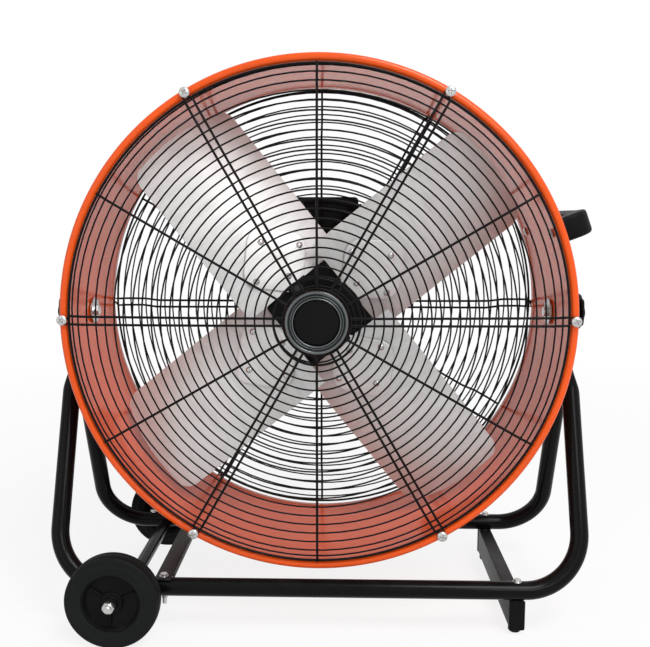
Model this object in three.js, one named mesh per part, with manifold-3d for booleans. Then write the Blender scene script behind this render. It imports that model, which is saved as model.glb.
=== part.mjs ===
// A drum fan on a wheeled stand: two bent-tube loops carry a tilting drum with wire guards, motor and blades.
// Millimetres, +Z up. The fan blows towards -Y. The origin is on the floor, under the middle of the drum.
import * as THREE from "three";
import { mergeVertices } from "three/addons/utils/BufferGeometryUtils.js";
import Module from "manifold-3d";

const wasm = await Module();
wasm.setup();

// ---- driving dimensions ------------------------------------------------------------
const GAP = 0.3; // clearance between pieces that touch
const AXIS_Z = 410; // height of the drum's axis and of the tilt pivots

const RIM_R = 330; // outside of the drum's rolled rim
const BORE_R = 320; // inside of the drum's wall
const WALL = 2;
const HALF_DEPTH = 114; // half of the drum's length along Y
const RIM_STEPS = 44;

const TUBE_R = 11.8; // stand tube
const ARM_X = 345.2; // middle of the arms, left and right
const RAIL_Y = 122; // middle of the front and rear rails
const RAIL_Z = 58.7;
const FRONT_BEND_R = 75; // middle line of the front loop's lower corners
const REAR_BEND_R = 66;
const KNEE_Z = 377; // where an arm turns upright below the pivot
const ARM_SLOPE = RAIL_Y / (KNEE_Z - RAIL_Z);
const TAB_R = 17; // half width of an arm's flattened end
const TAB_THICK = 4;
const FLAT_FROM_Z = 300;
const FLAT_TO_Z = 338;

const PIVOT_BOLT_R = 4;
const KNOB_R = 25;
const KNOB_END_X = 362.5;
const KNOB_NECK = 4; // length of the round neck behind the knob's grip
const SCREW_R = 2.5; // handle screws and rail screw

const WIRE_R = 1.5; // spokes and edge rings
const SPIRAL_WIRE_R = 1.05;
const SPIRAL_PITCH = 11.9;
const EDGE_PITCH = 6; // the spiral's last two turns, on the shoulder
const SHOULDER_R = 304;
const EDGE_RING_R = 316;
const SPIRAL_START_DEG = 157; // where the spiral begins, counter-clockwise from +X as seen from outside
const GUARD_SCREW_R = 324.5;
const FRONT_FACE_Y = 131; // distance of the front spokes' inner ends from the drum's middle
const HAIRPIN_HALF = 5.2; // half the spacing of a spoke pair
const SPOKE_PAIRS = 6;

const BADGE_R = 41.5;
const BADGE_DISC_R = 28;

const BLADES = 4;
const BLADE_FIRST_DEG = 39;
const BLADE_PITCH_DEG = 20;
const BLADE_TIP_R = 305;
const BLADE_BASE_R = 54;
const BLADE_HALF_WIDTH = 75; // as seen along the axis
const BLADE_THICK = 2;
const BLADE_CAMBER = 7;
const BLADE_Y = -30;
const HUB_REACH = 50;
const PAD_SIDE = 84;
const PAD_ROUND = 22;
const PAD_R = 94.4; // distance of a pad's middle from the axis
const PAD_AHEAD = 2.7; // the pad sits this far towards the blade's forward edge

const MOTOR_R = 82;
const MOTOR_FRONT_Y = 6;
const MOTOR_BACK_Y = 86.7;
const SHAFT_R = 8;

const BOX_HALF = 55; // control box, heights from the drum's axis
const BOX_LOW = 62;
const BOX_HIGH = 160;
const BOX_FRONT_Y = 97;
const BOX_BACK_Y = 130;
const SPEED_KNOB_Z = 112;
const GLAND_Z = 142;

const WHEEL_R = 60;
const WHEEL_X = -256.8;
const WHEEL_Y = 165;
const TYRE_HALF = 12.5;
const WHEEL_RIM_R = 38;
const RIM_HALF = 10.5; // half width of the wheel's rim
const RECESS_R = 35; // the wheel's side is hollow inside this radius
const WEB_HALF = 4;
const BOSS_R = 13.5;
const BOSS_HALF = 9;
const COLLAR_R = 9; // spacing collar on both sides of the boss
const COLLAR_OUT = 18; // outer end of the collar, from the wheel's middle
const AXLE_R = 5;
const AXLE_FROM_Y = RAIL_Y - 10; // the axle studs begin inside the rails
const AXLE_END_Y = 194;
const AXLE_NUT = 6.7; // thickness of the nut
const RAIL_SCREW_X = -270;
const STRETCHER_X = -248; // middle of the tube that joins the rails beside the wheels
const STRETCHER_R = 9;
const STRETCHER_BORE_R = 7;

const FOOT_BAR_X = 259.5;
const FOOT_BAR_WIDTH = 19;
const FOOT_BAR_TOP = RAIL_Z - TUBE_R - GAP;
const FOOT_BAR_BOTTOM = 8;
const FOOT_BAR_HALF = 125;
const FOOT_Y = 114;
const CROSS_BAR_X = -201;
const CROSS_BAR_WIDTH = 22;
const CROSS_BAR_SHEET = 2.5;
const BOLT_R = 3;

const HANDLE_DEG = 20;
const HANDLE_SCREW_Y = 77;
const HANDLE_WIDTH = 31;
const HANDLE_TOP_R = 368;
const HANDLE_HALF = 92; // half of the handle's length under its round corners
const HANDLE_GAP_HALF = 62; // half of the finger gap's length
const HANDLE_GRIP = 19; // thickness of the grip over the finger gap
const HANDLE_ROUND = 17;

const BLACK_PAINT = { color: 0x101112, roughness: 0.35, metalness: 0.3 };
const BLACK_CASTING = { color: 0x1a1a1b, roughness: 0.5, metalness: 0.4 };
const BLACK_PLASTIC = { color: 0x16181a, roughness: 0.55, metalness: 0 };
const BLACK_WIRE = { color: 0x0c0c0d, roughness: 0.4, metalness: 0.2 };
const ORANGE_PAINT = { color: 0xff5a10, roughness: 0.25, metalness: 0.1 };
const RUBBER = { color: 0x1b1d1c, roughness: 0.8, metalness: 0 };
const ZINC = { color: 0xc9cdd0, roughness: 0.3, metalness: 0.9 };
const ALUMINIUM = { color: 0xcfcccb, roughness: 0.35, metalness: 0.8 };
const GREY_PLASTIC = { color: 0x6f7475, roughness: 0.35, metalness: 0.4 };

// ---- solids ------------------------------------------------------------
const radians = THREE.MathUtils.degToRad;

// A closed geometry as a solid that can be joined and cut.
function solidOf(geometry) {
  const loose = geometry.index ? geometry.toNonIndexed() : geometry;
  const bare = new THREE.BufferGeometry().setAttribute("position", loose.getAttribute("position"));
  const merged = mergeVertices(bare, 1e-4);
  const corners = merged.index.array;
  const kept = [];
  for (let i = 0; i < corners.length; i += 3) {
    const [a, b, c] = corners.subarray(i, i + 3);
    if (a !== b && b !== c && c !== a) kept.push(a, b, c);
  }
  const vertProperties = new Float32Array(merged.attributes.position.array);
  return new wasm.Manifold(new wasm.Mesh({ numProp: 3, vertProperties, triVerts: new Uint32Array(kept) }));
}

function geometryOf(solid) {
  const made = solid.getMesh();
  const positions = new Float32Array(made.numVert * 3);
  for (let i = 0; i < made.numVert; i++) {
    positions.set(made.vertProperties.subarray(i * made.numProp, i * made.numProp + 3), i * 3);
  }
  const geometry = new THREE.BufferGeometry();
  geometry.setAttribute("position", new THREE.BufferAttribute(positions, 3));
  geometry.setIndex(new THREE.BufferAttribute(new Uint32Array(made.triVerts), 1));
  geometry.computeVertexNormals();
  return geometry;
}

const joined = (...geometries) => geometryOf(geometries.map(solidOf).reduce((sum, next) => sum.add(next)));

const cut = (geometry, ...tools) =>
  geometryOf(tools.map(solidOf).reduce((rest, tool) => rest.subtract(tool), solidOf(geometry)));

const common = (first, second) => geometryOf(solidOf(first).intersect(solidOf(second)));

function piece(name, geometry, finish) {
  const mesh = new THREE.Mesh(geometry, new THREE.MeshStandardMaterial(finish));
  mesh.name = name;
  return mesh;
}

function groupOf(...children) {
  const group = new THREE.Group();
  group.add(...children);
  return group;
}

// A body turned about Y from a profile of [radius, y] points, whichever way round the profile is given.
function turned(profile, steps = 16) {
  const points = profile.map(([r, y]) => new THREE.Vector2(r, y));
  const area = THREE.ShapeUtils.area(points);
  if (area < 0) points.reverse();
  const solid = points[0].x === 0 && points[points.length - 1].x === 0;
  if (!solid) points.push(points[0].clone());
  return new THREE.LatheGeometry(points, steps);
}

// A round bar along Y between two values of y, with an optional bore.
function rodY(radius, low, high, steps = 12, bore = 0) {
  if (bore) return turned([[bore, low], [radius, low], [radius, high], [bore, high]], steps);
  return turned([[0, low], [radius, low], [radius, high], [0, high]], steps);
}

const rodX = (...sizes) => rodY(...sizes).rotateZ(-Math.PI / 2);
const rodZ = (...sizes) => rodY(...sizes).rotateX(Math.PI / 2);

function block(lowX, highX, lowY, highY, lowZ, highZ) {
  const geometry = new THREE.BoxGeometry(highX - lowX, highY - lowY, highZ - lowZ);
  return geometry.translate((lowX + highX) / 2, (lowY + highY) / 2, (lowZ + highZ) / 2);
}

function polygon(sides, radius, turn = 0) {
  const corners = [];
  for (let i = 0; i < sides; i++) {
    const angle = turn + (2 * Math.PI * i) / sides;
    corners.push(new THREE.Vector2(radius * Math.cos(angle), radius * Math.sin(angle)));
  }
  return new THREE.Shape(corners);
}

function plate(shape, depth, curveSegments = 6) {
  return new THREE.ExtrudeGeometry(shape, { depth, bevelEnabled: false, curveSegments });
}

// A path given by stations, each a point and a direction, so that its steps fall only where it turns.
class StationPath extends THREE.Curve {
  constructor(stations) {
    super();
    this.stations = stations;
  }
  station(u) {
    return this.stations[Math.round(u * (this.stations.length - 1))];
  }
  getPoint(u, target = new THREE.Vector3()) {
    return target.copy(this.station(u).point);
  }
  getPointAt(u, target) {
    return this.getPoint(u, target);
  }
  getTangent(u, target = new THREE.Vector3()) {
    return target.copy(this.station(u).direction);
  }
  getTangentAt(u, target) {
    return this.getTangent(u, target);
  }
}

// Stations along straight runs between corners, each inner corner rounded to its own radius.
function roundedStations(corners, radii, bendSteps) {
  const last = corners.length - 1;
  const towards = (from, to) => to.clone().sub(from).normalize();
  const stations = [{ point: corners[0], direction: towards(corners[0], corners[1]) }];
  for (let i = 1; i < last; i++) {
    const before = towards(corners[i - 1], corners[i]);
    const after = towards(corners[i], corners[i + 1]);
    const turn = before.angleTo(after);
    const reach = radii[i - 1] * Math.tan(turn / 2);
    const start = corners[i].clone().addScaledVector(before, -reach);
    const inward = after.clone().addScaledVector(before, -before.dot(after)).normalize();
    for (let k = 0; k <= bendSteps; k++) {
      const angle = (turn * k) / bendSteps;
      const point = start.clone();
      point.addScaledVector(before, radii[i - 1] * Math.sin(angle));
      point.addScaledVector(inward, radii[i - 1] * (1 - Math.cos(angle)));
      const direction = before.clone().multiplyScalar(Math.cos(angle)).addScaledVector(inward, Math.sin(angle));
      stations.push({ point, direction });
    }
  }
  stations.push({ point: corners[last], direction: towards(corners[last - 1], corners[last]) });
  return stations;
}

function barAlong(stations, section) {
  const extrudePath = new StationPath(stations);
  return new THREE.ExtrudeGeometry(section, { steps: stations.length - 1, extrudePath, bevelEnabled: false });
}

// ---- stand ------------------------------------------------------------
// Squeezes a tube's upper ends flat across X, as a press does, and rounds their tops about the pivot.
function pressEndsFlat(geometry, side, tabShift) {
  const position = geometry.getAttribute("position");
  for (let i = 0; i < position.count; i++) {
    const x = position.getX(i);
    const y = position.getY(i);
    const z = position.getZ(i);
    if (z < FLAT_FROM_Z) continue;
    const pressed = THREE.MathUtils.smoothstep(z, FLAT_FROM_Z, FLAT_TO_Z);
    const middleX = Math.sign(x) * ARM_X;
    const middleY = side * Math.max(0, KNEE_Z - z) * ARM_SLOPE;
    const thin = THREE.MathUtils.lerp(1, TAB_THICK / 2 / TUBE_R, pressed);
    let wide = THREE.MathUtils.lerp(1, TAB_R / TUBE_R, pressed);
    const above = Math.max(0, z - AXIS_Z) / TAB_R;
    wide *= Math.sqrt(Math.max(0, 1 - above * above));
    const shift = Math.sign(x) * tabShift * pressed;
    position.setXYZ(i, middleX + shift + (x - middleX) * thin, middleY + (y - middleY) * wide, z);
  }
  return geometry;
}

// Extra stations on an arm, where its end is pressed flat and rounded.
function armStations(side, sign) {
  const leaning = new THREE.Vector3(0, side * ARM_SLOPE, -1).normalize();
  const upright = new THREE.Vector3(0, 0, -1);
  const tabTop = [0.95, 0.8, 0.5, 0].map((share) => AXIS_Z + share * TAB_R);
  const presses = [1, 2 / 3, 1 / 3, 0].map((share) => THREE.MathUtils.lerp(FLAT_FROM_Z, FLAT_TO_Z, share));
  const heights = [...tabTop, KNEE_Z, ...presses];
  return heights.map((z) => {
    const direction = z > KNEE_Z ? upright.clone() : leaning.clone();
    const y = side * Math.max(0, KNEE_Z - z) * ARM_SLOPE;
    return { point: new THREE.Vector3(sign * ARM_X, y, z), direction };
  });
}

// One loop of the stand: two arms, two round corners and a rail. Side is -1 in front and 1 behind.
function loopTube(name, side, bendR, tabShift) {
  const armY = side * (KNEE_Z - FLAT_FROM_Z) * ARM_SLOPE;
  const arm = (sign) => new THREE.Vector3(sign * ARM_X, armY, FLAT_FROM_Z);
  const foot = (sign) => new THREE.Vector3(sign * ARM_X, side * RAIL_Y, RAIL_Z);
  const corners = [arm(-1), foot(-1), foot(1), arm(1)];
  const middle = roundedStations(corners, [bendR, bendR], 6).slice(1, -1);
  const left = armStations(side, -1);
  const right = armStations(side, 1).reverse();
  right.forEach((station) => station.direction.negate());
  const tube = barAlong([...left, ...middle, ...right], polygon(12, TUBE_R, Math.PI / 12));
  pressEndsFlat(tube, side, tabShift);
  const boltHole = (x) => rodZ(BOLT_R + GAP, -20, 20).translate(x, side * RAIL_Y, RAIL_Z);
  const axleHole = rodY(AXLE_R + GAP, -20, 20).translate(WHEEL_X, side * RAIL_Y, WHEEL_R);
  const screwHole = rodZ(SCREW_R + GAP, 0, 20).translate(RAIL_SCREW_X, side * RAIL_Y, RAIL_Z);
  const pivotHole = rodX(PIVOT_BOLT_R + GAP, -400, 400).translate(0, 0, AXIS_Z);
  const holes = [boltHole(FOOT_BAR_X), boltHole(CROSS_BAR_X), axleHole, pivotHole];
  if (side > 0) holes.push(screwHole);
  return piece(name, cut(tube, ...holes), BLACK_PAINT);
}

// A hex-headed bolt with its washer, standing upright: the washer's underside is at z = 0.
function hexBolt(name, shankLength) {
  const washer = 1.2;
  const head = plate(polygon(6, 6), 4.5).translate(0, 0, washer);
  return piece(name, joined(head, rodZ(7.5, 0, washer), rodZ(BOLT_R, -shankLength, 0.5, 10)), ZINC);
}

function placed(mesh, x, y, z) {
  mesh.position.set(x, y, z);
  return mesh;
}

function footBar() {
  const halfWidth = FOOT_BAR_WIDTH / 2;
  const tube = block(-halfWidth, halfWidth, -FOOT_BAR_HALF, FOOT_BAR_HALF, FOOT_BAR_BOTTOM, FOOT_BAR_TOP);
  const wall = 1.6;
  const inside = block(
    wall - halfWidth,
    halfWidth - wall,
    -FOOT_BAR_HALF - 1,
    FOOT_BAR_HALF + 1,
    FOOT_BAR_BOTTOM + wall,
    FOOT_BAR_TOP - wall,
  );
  const hole = (side) => rodZ(BOLT_R + GAP, FOOT_BAR_TOP - 5, FOOT_BAR_TOP + 5).translate(0, side * RAIL_Y, 0);
  return placed(piece("foot_bar", cut(tube, inside, hole(-1), hole(1)), BLACK_PAINT), FOOT_BAR_X, 0, 0);
}

// A plug in the bar's open end: a flange outside and a tongue inside the wall.
function footBarCap(name, side) {
  const flange = FOOT_BAR_WIDTH / 2 + 0.8;
  const tongue = FOOT_BAR_WIDTH / 2 - 1.6 - GAP;
  const low = FOOT_BAR_BOTTOM;
  const cap = joined(
    block(-flange, flange, GAP, 3.5, low - 0.5, FOOT_BAR_TOP - 0.2),
    block(-tongue, tongue, -9, 1, low + 2, FOOT_BAR_TOP - 5),
  );
  if (side < 0) cap.rotateZ(Math.PI);
  return placed(piece(name, cap, BLACK_PLASTIC), FOOT_BAR_X, side * FOOT_BAR_HALF, 0);
}

function rubberFoot(name, side) {
  const profile = [[0, 0], [7, 0], [8.5, 2], [8.5, FOOT_BAR_BOTTOM - GAP], [0, FOOT_BAR_BOTTOM - GAP]];
  const foot = turned(profile, 16).rotateX(Math.PI / 2);
  return placed(piece(name, foot, RUBBER), FOOT_BAR_X, side * FOOT_Y, 0);
}

// A channel with short turned-down edges lies across both rails.
function crossBar() {
  const low = RAIL_Z + TUBE_R + GAP;
  const half = CROSS_BAR_WIDTH / 2;
  const sheet = CROSS_BAR_SHEET;
  const lip = 9;
  const long = RAIL_Y + 9;
  const between = RAIL_Y - TUBE_R - 2;
  const bar = joined(
    block(-half, half, -long, long, low, low + sheet),
    block(-half, sheet - half, -between, between, low + sheet - lip, low + sheet),
    block(half - sheet, half, -between, between, low + sheet - lip, low + sheet),
  );
  const hole = (side) => rodZ(BOLT_R + GAP, low - 5, low + 5).translate(0, side * RAIL_Y, 0);
  return placed(piece("cross_bar", cut(bar, hole(-1), hole(1)), BLACK_PAINT), CROSS_BAR_X, 0, 0);
}

// The tube that keeps the two rails apart.
function stretcherTube() {
  const reach = RAIL_Y - TUBE_R - GAP;
  const tube = rodY(STRETCHER_R, -reach, reach, 16, STRETCHER_BORE_R);
  return placed(piece("stretcher_tube", tube, BLACK_PAINT), STRETCHER_X, 0, RAIL_Z);
}

// A stud screwed into the rail from outside; its wheel turns on it behind the nut.
function axleStud(name, side) {
  const ends = side < 0 ? [-AXLE_END_Y, -AXLE_FROM_Y] : [AXLE_FROM_Y, AXLE_END_Y];
  const stud = rodY(AXLE_R, ...ends, 16);
  return placed(piece(name, stud, ZINC), WHEEL_X, 0, WHEEL_R);
}

function axleNut(name, side) {
  const nut = plate(polygon(6, 8), AXLE_NUT).rotateX(Math.PI / 2).translate(0, AXLE_NUT, 0);
  const made = cut(nut, rodY(AXLE_R + GAP, -1, AXLE_NUT + 1));
  if (side < 0) made.rotateZ(Math.PI);
  return placed(piece(name, made, ZINC), WHEEL_X, side * (WHEEL_Y + COLLAR_OUT + GAP), WHEEL_R);
}

function railScrew(name, side) {
  const head = turned([[0, 0], [6, 0], [6, 1.5], [4, 3.6], [0, 4]], 12);
  const screw = joined(head, rodY(SCREW_R, -9, 1, 10)).rotateX(Math.PI / 2);
  return placed(piece(name, screw, ZINC), RAIL_SCREW_X, side * RAIL_Y, RAIL_Z + TUBE_R + GAP);
}

function stand() {
  const boltZ = RAIL_Z + TUBE_R + GAP;
  const crossZ = boltZ + CROSS_BAR_SHEET + GAP;
  const ends = [["front", -1], ["rear", 1]];
  const all = groupOf(
    loopTube("front_loop_tube", -1, FRONT_BEND_R, -TAB_THICK / 2 - GAP / 2),
    loopTube("rear_loop_tube", 1, REAR_BEND_R, TAB_THICK / 2 + GAP / 2),
    footBar(),
    crossBar(),
    stretcherTube(),
    railScrew("rail_screw_rear", 1),
  );
  for (const [end, side] of ends) {
    all.add(
      footBarCap("foot_bar_cap_" + end, side),
      rubberFoot("rubber_foot_" + end, side),
      placed(hexBolt("foot_bar_bolt_" + end, 2 * TUBE_R + 3), FOOT_BAR_X, side * RAIL_Y, boltZ),
      placed(hexBolt("cross_bar_bolt_" + end, 2 * TUBE_R + 12), CROSS_BAR_X, side * RAIL_Y, crossZ),
      axleStud("axle_stud_" + end, side),
      axleNut("axle_nut_" + end, side),
    );
  }
  return all;
}

// ---- wheels ------------------------------------------------------------
// A tyre on a webbed rim, whose hub runs from beside the rail to the axle's nut.
function wheel(end, side) {
  const seat = WHEEL_RIM_R + GAP;
  const halfTyre = [[seat, TYRE_HALF - 1.5], [43, TYRE_HALF], [53, TYRE_HALF], [58, TYRE_HALF - 3], [WHEEL_R, 5]];
  const tyre = [...halfTyre, ...halfTyre.map(([r, y]) => [r, -y]).reverse()];
  const bore = AXLE_R + GAP;
  const halfRim = [
    [COLLAR_R, BOSS_HALF], [BOSS_R, BOSS_HALF], [BOSS_R, WEB_HALF],
    [RECESS_R - 2, WEB_HALF], [RECESS_R, RIM_HALF], [WHEEL_RIM_R, RIM_HALF],
  ];
  const collarIn = WHEEL_Y - RAIL_Y - TUBE_R - 1.5;
  const innerHalf = [...halfRim].reverse().map(([r, y]) => [r, -y]);
  const outerEnd = [[bore, COLLAR_OUT], [COLLAR_R, COLLAR_OUT]];
  const rim = [...outerEnd, ...halfRim, ...innerHalf, [COLLAR_R, -collarIn], [bore, -collarIn]];
  const flip = (profile) => profile.map(([r, y]) => [r, side * y]);
  return placed(
    groupOf(
      piece("tyre_" + end, turned(flip(tyre), 24), RUBBER),
      piece("wheel_rim_" + end, turned(flip(rim), 24), BLACK_PLASTIC),
    ),
    WHEEL_X,
    side * WHEEL_Y,
    WHEEL_R,
  );
}

// ---- drum ------------------------------------------------------------
// The drum's wall with a round bead at each end; the bead's middle lies between the wall and the rim's outside.
function drumShell() {
  const beadR = (RIM_R - BORE_R) / 2;
  const middle = BORE_R + beadR;
  const bead = (side) =>
    [180, 235, 290, 340, 30, 80, 130].map((degrees) => [
      middle + beadR * Math.cos(radians(degrees)),
      side * (HALF_DEPTH - beadR - beadR * Math.sin(radians(degrees))),
    ]);
  const shell = turned([...bead(-1), ...bead(1).reverse()], RIM_STEPS);
  const pivotHole = rodX(PIVOT_BOLT_R + GAP, -340, 340);
  const screwHole = (side) =>
    rodX(SCREW_R + GAP, 300, 340, 10).rotateY(-radians(HANDLE_DEG)).translate(0, side * HANDLE_SCREW_Y, 0);
  return piece("drum_shell", cut(shell, pivotHole, screwHole(-1), screwHole(1)), ORANGE_PAINT);
}

// Distance of a guard's spokes from the drum's middle at each radius, as corners of a bent wire.
const EDGE_Y = HALF_DEPTH + GAP + WIRE_R;
const FRONT_LINE = [
  [42, FRONT_FACE_Y], [150, FRONT_FACE_Y - 2.4], [230, FRONT_FACE_Y - 5.8], [300, FRONT_FACE_Y - 10],
  [315, EDGE_Y], [GUARD_SCREW_R, EDGE_Y],
];
const REAR_LINE = [[72, 92], [250, 92], [275, 122], [303, 122], [315, EDGE_Y], [GUARD_SCREW_R, EDGE_Y]];

function lineDepth(line, radius) {
  if (radius <= line[0][0]) return line[0][1];
  for (let i = 1; i < line.length; i++) {
    const [r0, y0] = line[i - 1];
    const [r1, y1] = line[i];
    if (radius <= r1) return y0 + ((y1 - y0) * (radius - r0)) / (r1 - r0);
  }
  return line[line.length - 1][1];
}

// One wire bent back on itself round a screw: it runs out along the line, turns and comes back beside itself.
function hairpin(line) {
  const innerHalf = HAIRPIN_HALF - 0.8;
  const out = line.slice(0, -1);
  const across = (r) => innerHalf + ((HAIRPIN_HALF - innerHalf) * r) / GUARD_SCREW_R;
  const side = (sign) => out.map(([r, y]) => new THREE.Vector3(r, y, sign * across(r)));
  const end = (sign) => new THREE.Vector3(GUARD_SCREW_R + HAIRPIN_HALF, EDGE_Y, sign * HAIRPIN_HALF);
  const corners = [...side(-1), end(-1), end(1), ...side(1).reverse()];
  const radii = corners.slice(1, -1).map((corner) => (corner.x > GUARD_SCREW_R ? HAIRPIN_HALF - 0.05 : 0));
  const stations = [];
  for (const station of roundedStations(corners, radii, 2)) {
    const previous = stations[stations.length - 1];
    if (previous && previous.point.distanceTo(station.point) < 0.2) {
      previous.direction.add(station.direction).normalize();
    } else {
      stations.push(station);
    }
  }
  return barAlong(stations, polygon(4, WIRE_R * 1.1, Math.PI / 4));
}

function singleSpoke(line) {
  const corners = line.slice(0, -1).map(([r, y]) => new THREE.Vector3(r, y, 0));
  const last = corners[corners.length - 1];
  last.setX(EDGE_RING_R + 1);
  const stations = corners.map((point, i) => {
    const before = corners[Math.max(0, i - 1)];
    const after = corners[Math.min(corners.length - 1, i + 1)];
    return { point, direction: after.clone().sub(before).normalize() };
  });
  return barAlong(stations, polygon(4, WIRE_R * 1.1, Math.PI / 4));
}

// The spiral: even turns out to the shoulder, then two closer turns down it to the edge ring.
// It lies outside the spokes where its side is 1 and inside them where it is -1.
function spiralWire(line, innerRing, spiralSide) {
  const firstR = innerRing + 1;
  const evenTurns = (SHOULDER_R - firstR) / SPIRAL_PITCH;
  const edgeTurns = (EDGE_RING_R - SHOULDER_R) / EDGE_PITCH;
  const lift = spiralSide * (WIRE_R + SPIRAL_WIRE_R + GAP);
  const radiusAt = (turn) =>
    turn < evenTurns ? firstR + SPIRAL_PITCH * turn : SHOULDER_R + EDGE_PITCH * (turn - evenTurns);
  const spot = (turn, radius, depth) => {
    const angle = 2 * Math.PI * turn - radians(SPIRAL_START_DEG);
    return new THREE.Vector3(radius * Math.cos(angle), depth, radius * Math.sin(angle));
  };
  const points = [spot(-0.06, innerRing, lineDepth(line, innerRing))];
  const total = evenTurns + edgeTurns;
  let turn = 0;
  while (turn < total - 0.05) {
    const radius = radiusAt(turn);
    points.push(spot(turn, radius, lineDepth(line, radius) + lift));
    const stepsPerTurn = radius < 110 ? 10 : radius < 220 ? 14 : 20;
    turn += 1 / stepsPerTurn;
  }
  points.push(spot(total, EDGE_RING_R, HALF_DEPTH - 1));
  const stations = points.map((point, i) => {
    const before = points[Math.max(0, i - 1)];
    const after = points[Math.min(points.length - 1, i + 1)];
    return { point, direction: after.clone().sub(before).normalize() };
  });
  return barAlong(stations, polygon(3, SPIRAL_WIRE_R * 1.2, Math.PI / 2));
}

function ring(radius, depth, steps) {
  return new THREE.TorusGeometry(radius, WIRE_R * 1.1, 4, steps).rotateX(Math.PI / 2).translate(0, depth, 0);
}

// A whole guard, bulging towards +Y; the front one is turned to face -Y.
function guardWires(line, spiralSide) {
  const innerRing = line[0][0];
  const hubRing = ring(innerRing, line[0][1], 12);
  const edgeRing = ring(EDGE_RING_R, HALF_DEPTH - 1, 24);
  const parts = [hubRing, edgeRing, spiralWire(line, innerRing, spiralSide)];
  for (let i = 0; i < SPOKE_PAIRS; i++) {
    const angle = (2 * Math.PI * i) / SPOKE_PAIRS;
    parts.push(hairpin(line).rotateY(angle));
    parts.push(singleSpoke(line).rotateY(angle + Math.PI / SPOKE_PAIRS));
  }
  return joined(...parts);
}

function guardScrew(name, degrees, side) {
  const head = EDGE_Y + WIRE_R * 1.1 + GAP;
  const low = HALF_DEPTH + GAP;
  const profile = [[0, low], [2.4, low], [2.4, head], [6.5, head], [6, head + 2.6], [0, head + 4]];
  const screw = turned(profile.map(([r, y]) => [r, side * y]), 10);
  const at = radians(degrees);
  return placed(piece(name, screw, ZINC), GUARD_SCREW_R * Math.cos(at), 0, GUARD_SCREW_R * Math.sin(at));
}

function badge() {
  const back = -(FRONT_FACE_Y + WIRE_R * 1.1 + GAP);
  const ringProfile = [
    [BADGE_DISC_R, back], [BADGE_R, back], [BADGE_R, back - 2.5], [38.5, back - 4.6],
    [34, back - 3], [31, back - 4.8], [BADGE_DISC_R, back - 3.2],
  ];
  const discProfile = [[0, back], [BADGE_DISC_R - GAP, back], [BADGE_DISC_R - GAP, back - 2.6], [0, back - 3]];
  return groupOf(
    piece("guard_badge_ring", turned(ringProfile, 24), GREY_PLASTIC),
    piece("guard_badge_disc", turned(discProfile, 24), BLACK_PLASTIC),
  );
}

// The handle's side view, in [y, radius]: a round-cornered bridge with a finger gap under its grip.
function handle() {
  const base = BORE_R + WALL + 0.6;
  const half = HANDLE_HALF;
  const top = HANDLE_TOP_R;
  const outline = new THREE.Shape();
  outline.moveTo(-half - 3, base);
  outline.lineTo(half + 3, base);
  outline.lineTo(half, top - HANDLE_ROUND);
  outline.quadraticCurveTo(half - 1, top, half - HANDLE_ROUND, top);
  outline.lineTo(HANDLE_ROUND - half, top);
  outline.quadraticCurveTo(1 - half, top, -half, top - HANDLE_ROUND);
  const fingerTop = top - HANDLE_GRIP;
  const inner = HANDLE_GAP_HALF;
  const innerRound = HANDLE_ROUND / 2;
  const gap = new THREE.Shape();
  gap.moveTo(-inner - 2, base - 5);
  gap.lineTo(inner + 2, base - 5);
  gap.lineTo(inner, fingerTop - innerRound);
  gap.quadraticCurveTo(inner, fingerTop, inner - innerRound, fingerTop);
  gap.lineTo(innerRound - inner, fingerTop);
  gap.quadraticCurveTo(-inner, fingerTop, -inner, fingerTop - innerRound);
  const bridge = cut(
    plate(outline, HANDLE_WIDTH, 4).translate(0, 0, -HANDLE_WIDTH / 2),
    plate(gap, HANDLE_WIDTH + 2, 3).translate(0, 0, -HANDLE_WIDTH / 2 - 1),
  ).rotateZ(-Math.PI / 2).rotateX(Math.PI);
  const hole = (side) => rodX(SCREW_R + GAP, base - 2, base + 16, 10).translate(0, side * HANDLE_SCREW_Y, 0);
  const made = piece("handle", cut(bridge, hole(-1), hole(1)), BLACK_PLASTIC);
  const screw = (end, side) => {
    const head = BORE_R - 1.2;
    const dome = [[0, head - 3], [4, head - 2.7], [5.5, head - 1], [5.5, head]];
    const shank = [[SCREW_R, head], [SCREW_R, base + 14], [0, base + 14]];
    const body = turned([...dome, ...shank], 10).rotateZ(-Math.PI / 2);
    return placed(piece("handle_screw_" + end, body, ZINC), 0, side * HANDLE_SCREW_Y, 0);
  };
  const group = groupOf(made, screw("front", -1), screw("rear", 1));
  group.rotation.y = -radians(HANDLE_DEG);
  return group;
}

// Bolt, washer, spacer at one side; X points outwards.
function pivotStack(end, sign) {
  const hole = PIVOT_BOLT_R + GAP;
  const washerOut = BORE_R - 2;
  const spacerOut = ARM_X - TAB_THICK - 2 * GAP;
  const bolt = joined(
    turned([[0, 310.5], [6, 310.8], [9, 313], [9, washerOut - 4], [0, washerOut - 4]], 16),
    rodY(PIVOT_BOLT_R, washerOut - 5, KNOB_END_X - 1.5),
  );
  const pieces = [
    piece("pivot_bolt_" + end, bolt.rotateZ(-Math.PI / 2), ZINC),
    piece("pivot_washer_" + end, rodX(18, washerOut - 4 + GAP, washerOut, 20, hole), ZINC),
    piece("pivot_spacer_" + end, rodX(14, BORE_R + WALL + 0.6, spacerOut, 16, hole), BLACK_PLASTIC),
  ];
  const group = groupOf(...pieces);
  if (sign < 0) group.rotation.z = Math.PI;
  return group;
}

function scallopedShape(radius, waist, lobes) {
  const points = [];
  const steps = lobes * 4;
  for (let i = 0; i < steps; i++) {
    const angle = (2 * Math.PI * i) / steps;
    const reach = (radius + waist) / 2 + ((radius - waist) / 2) * Math.cos(lobes * angle);
    points.push(new THREE.Vector2(reach * Math.cos(angle), reach * Math.sin(angle)));
  }
  return new THREE.Shape(points);
}

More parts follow.
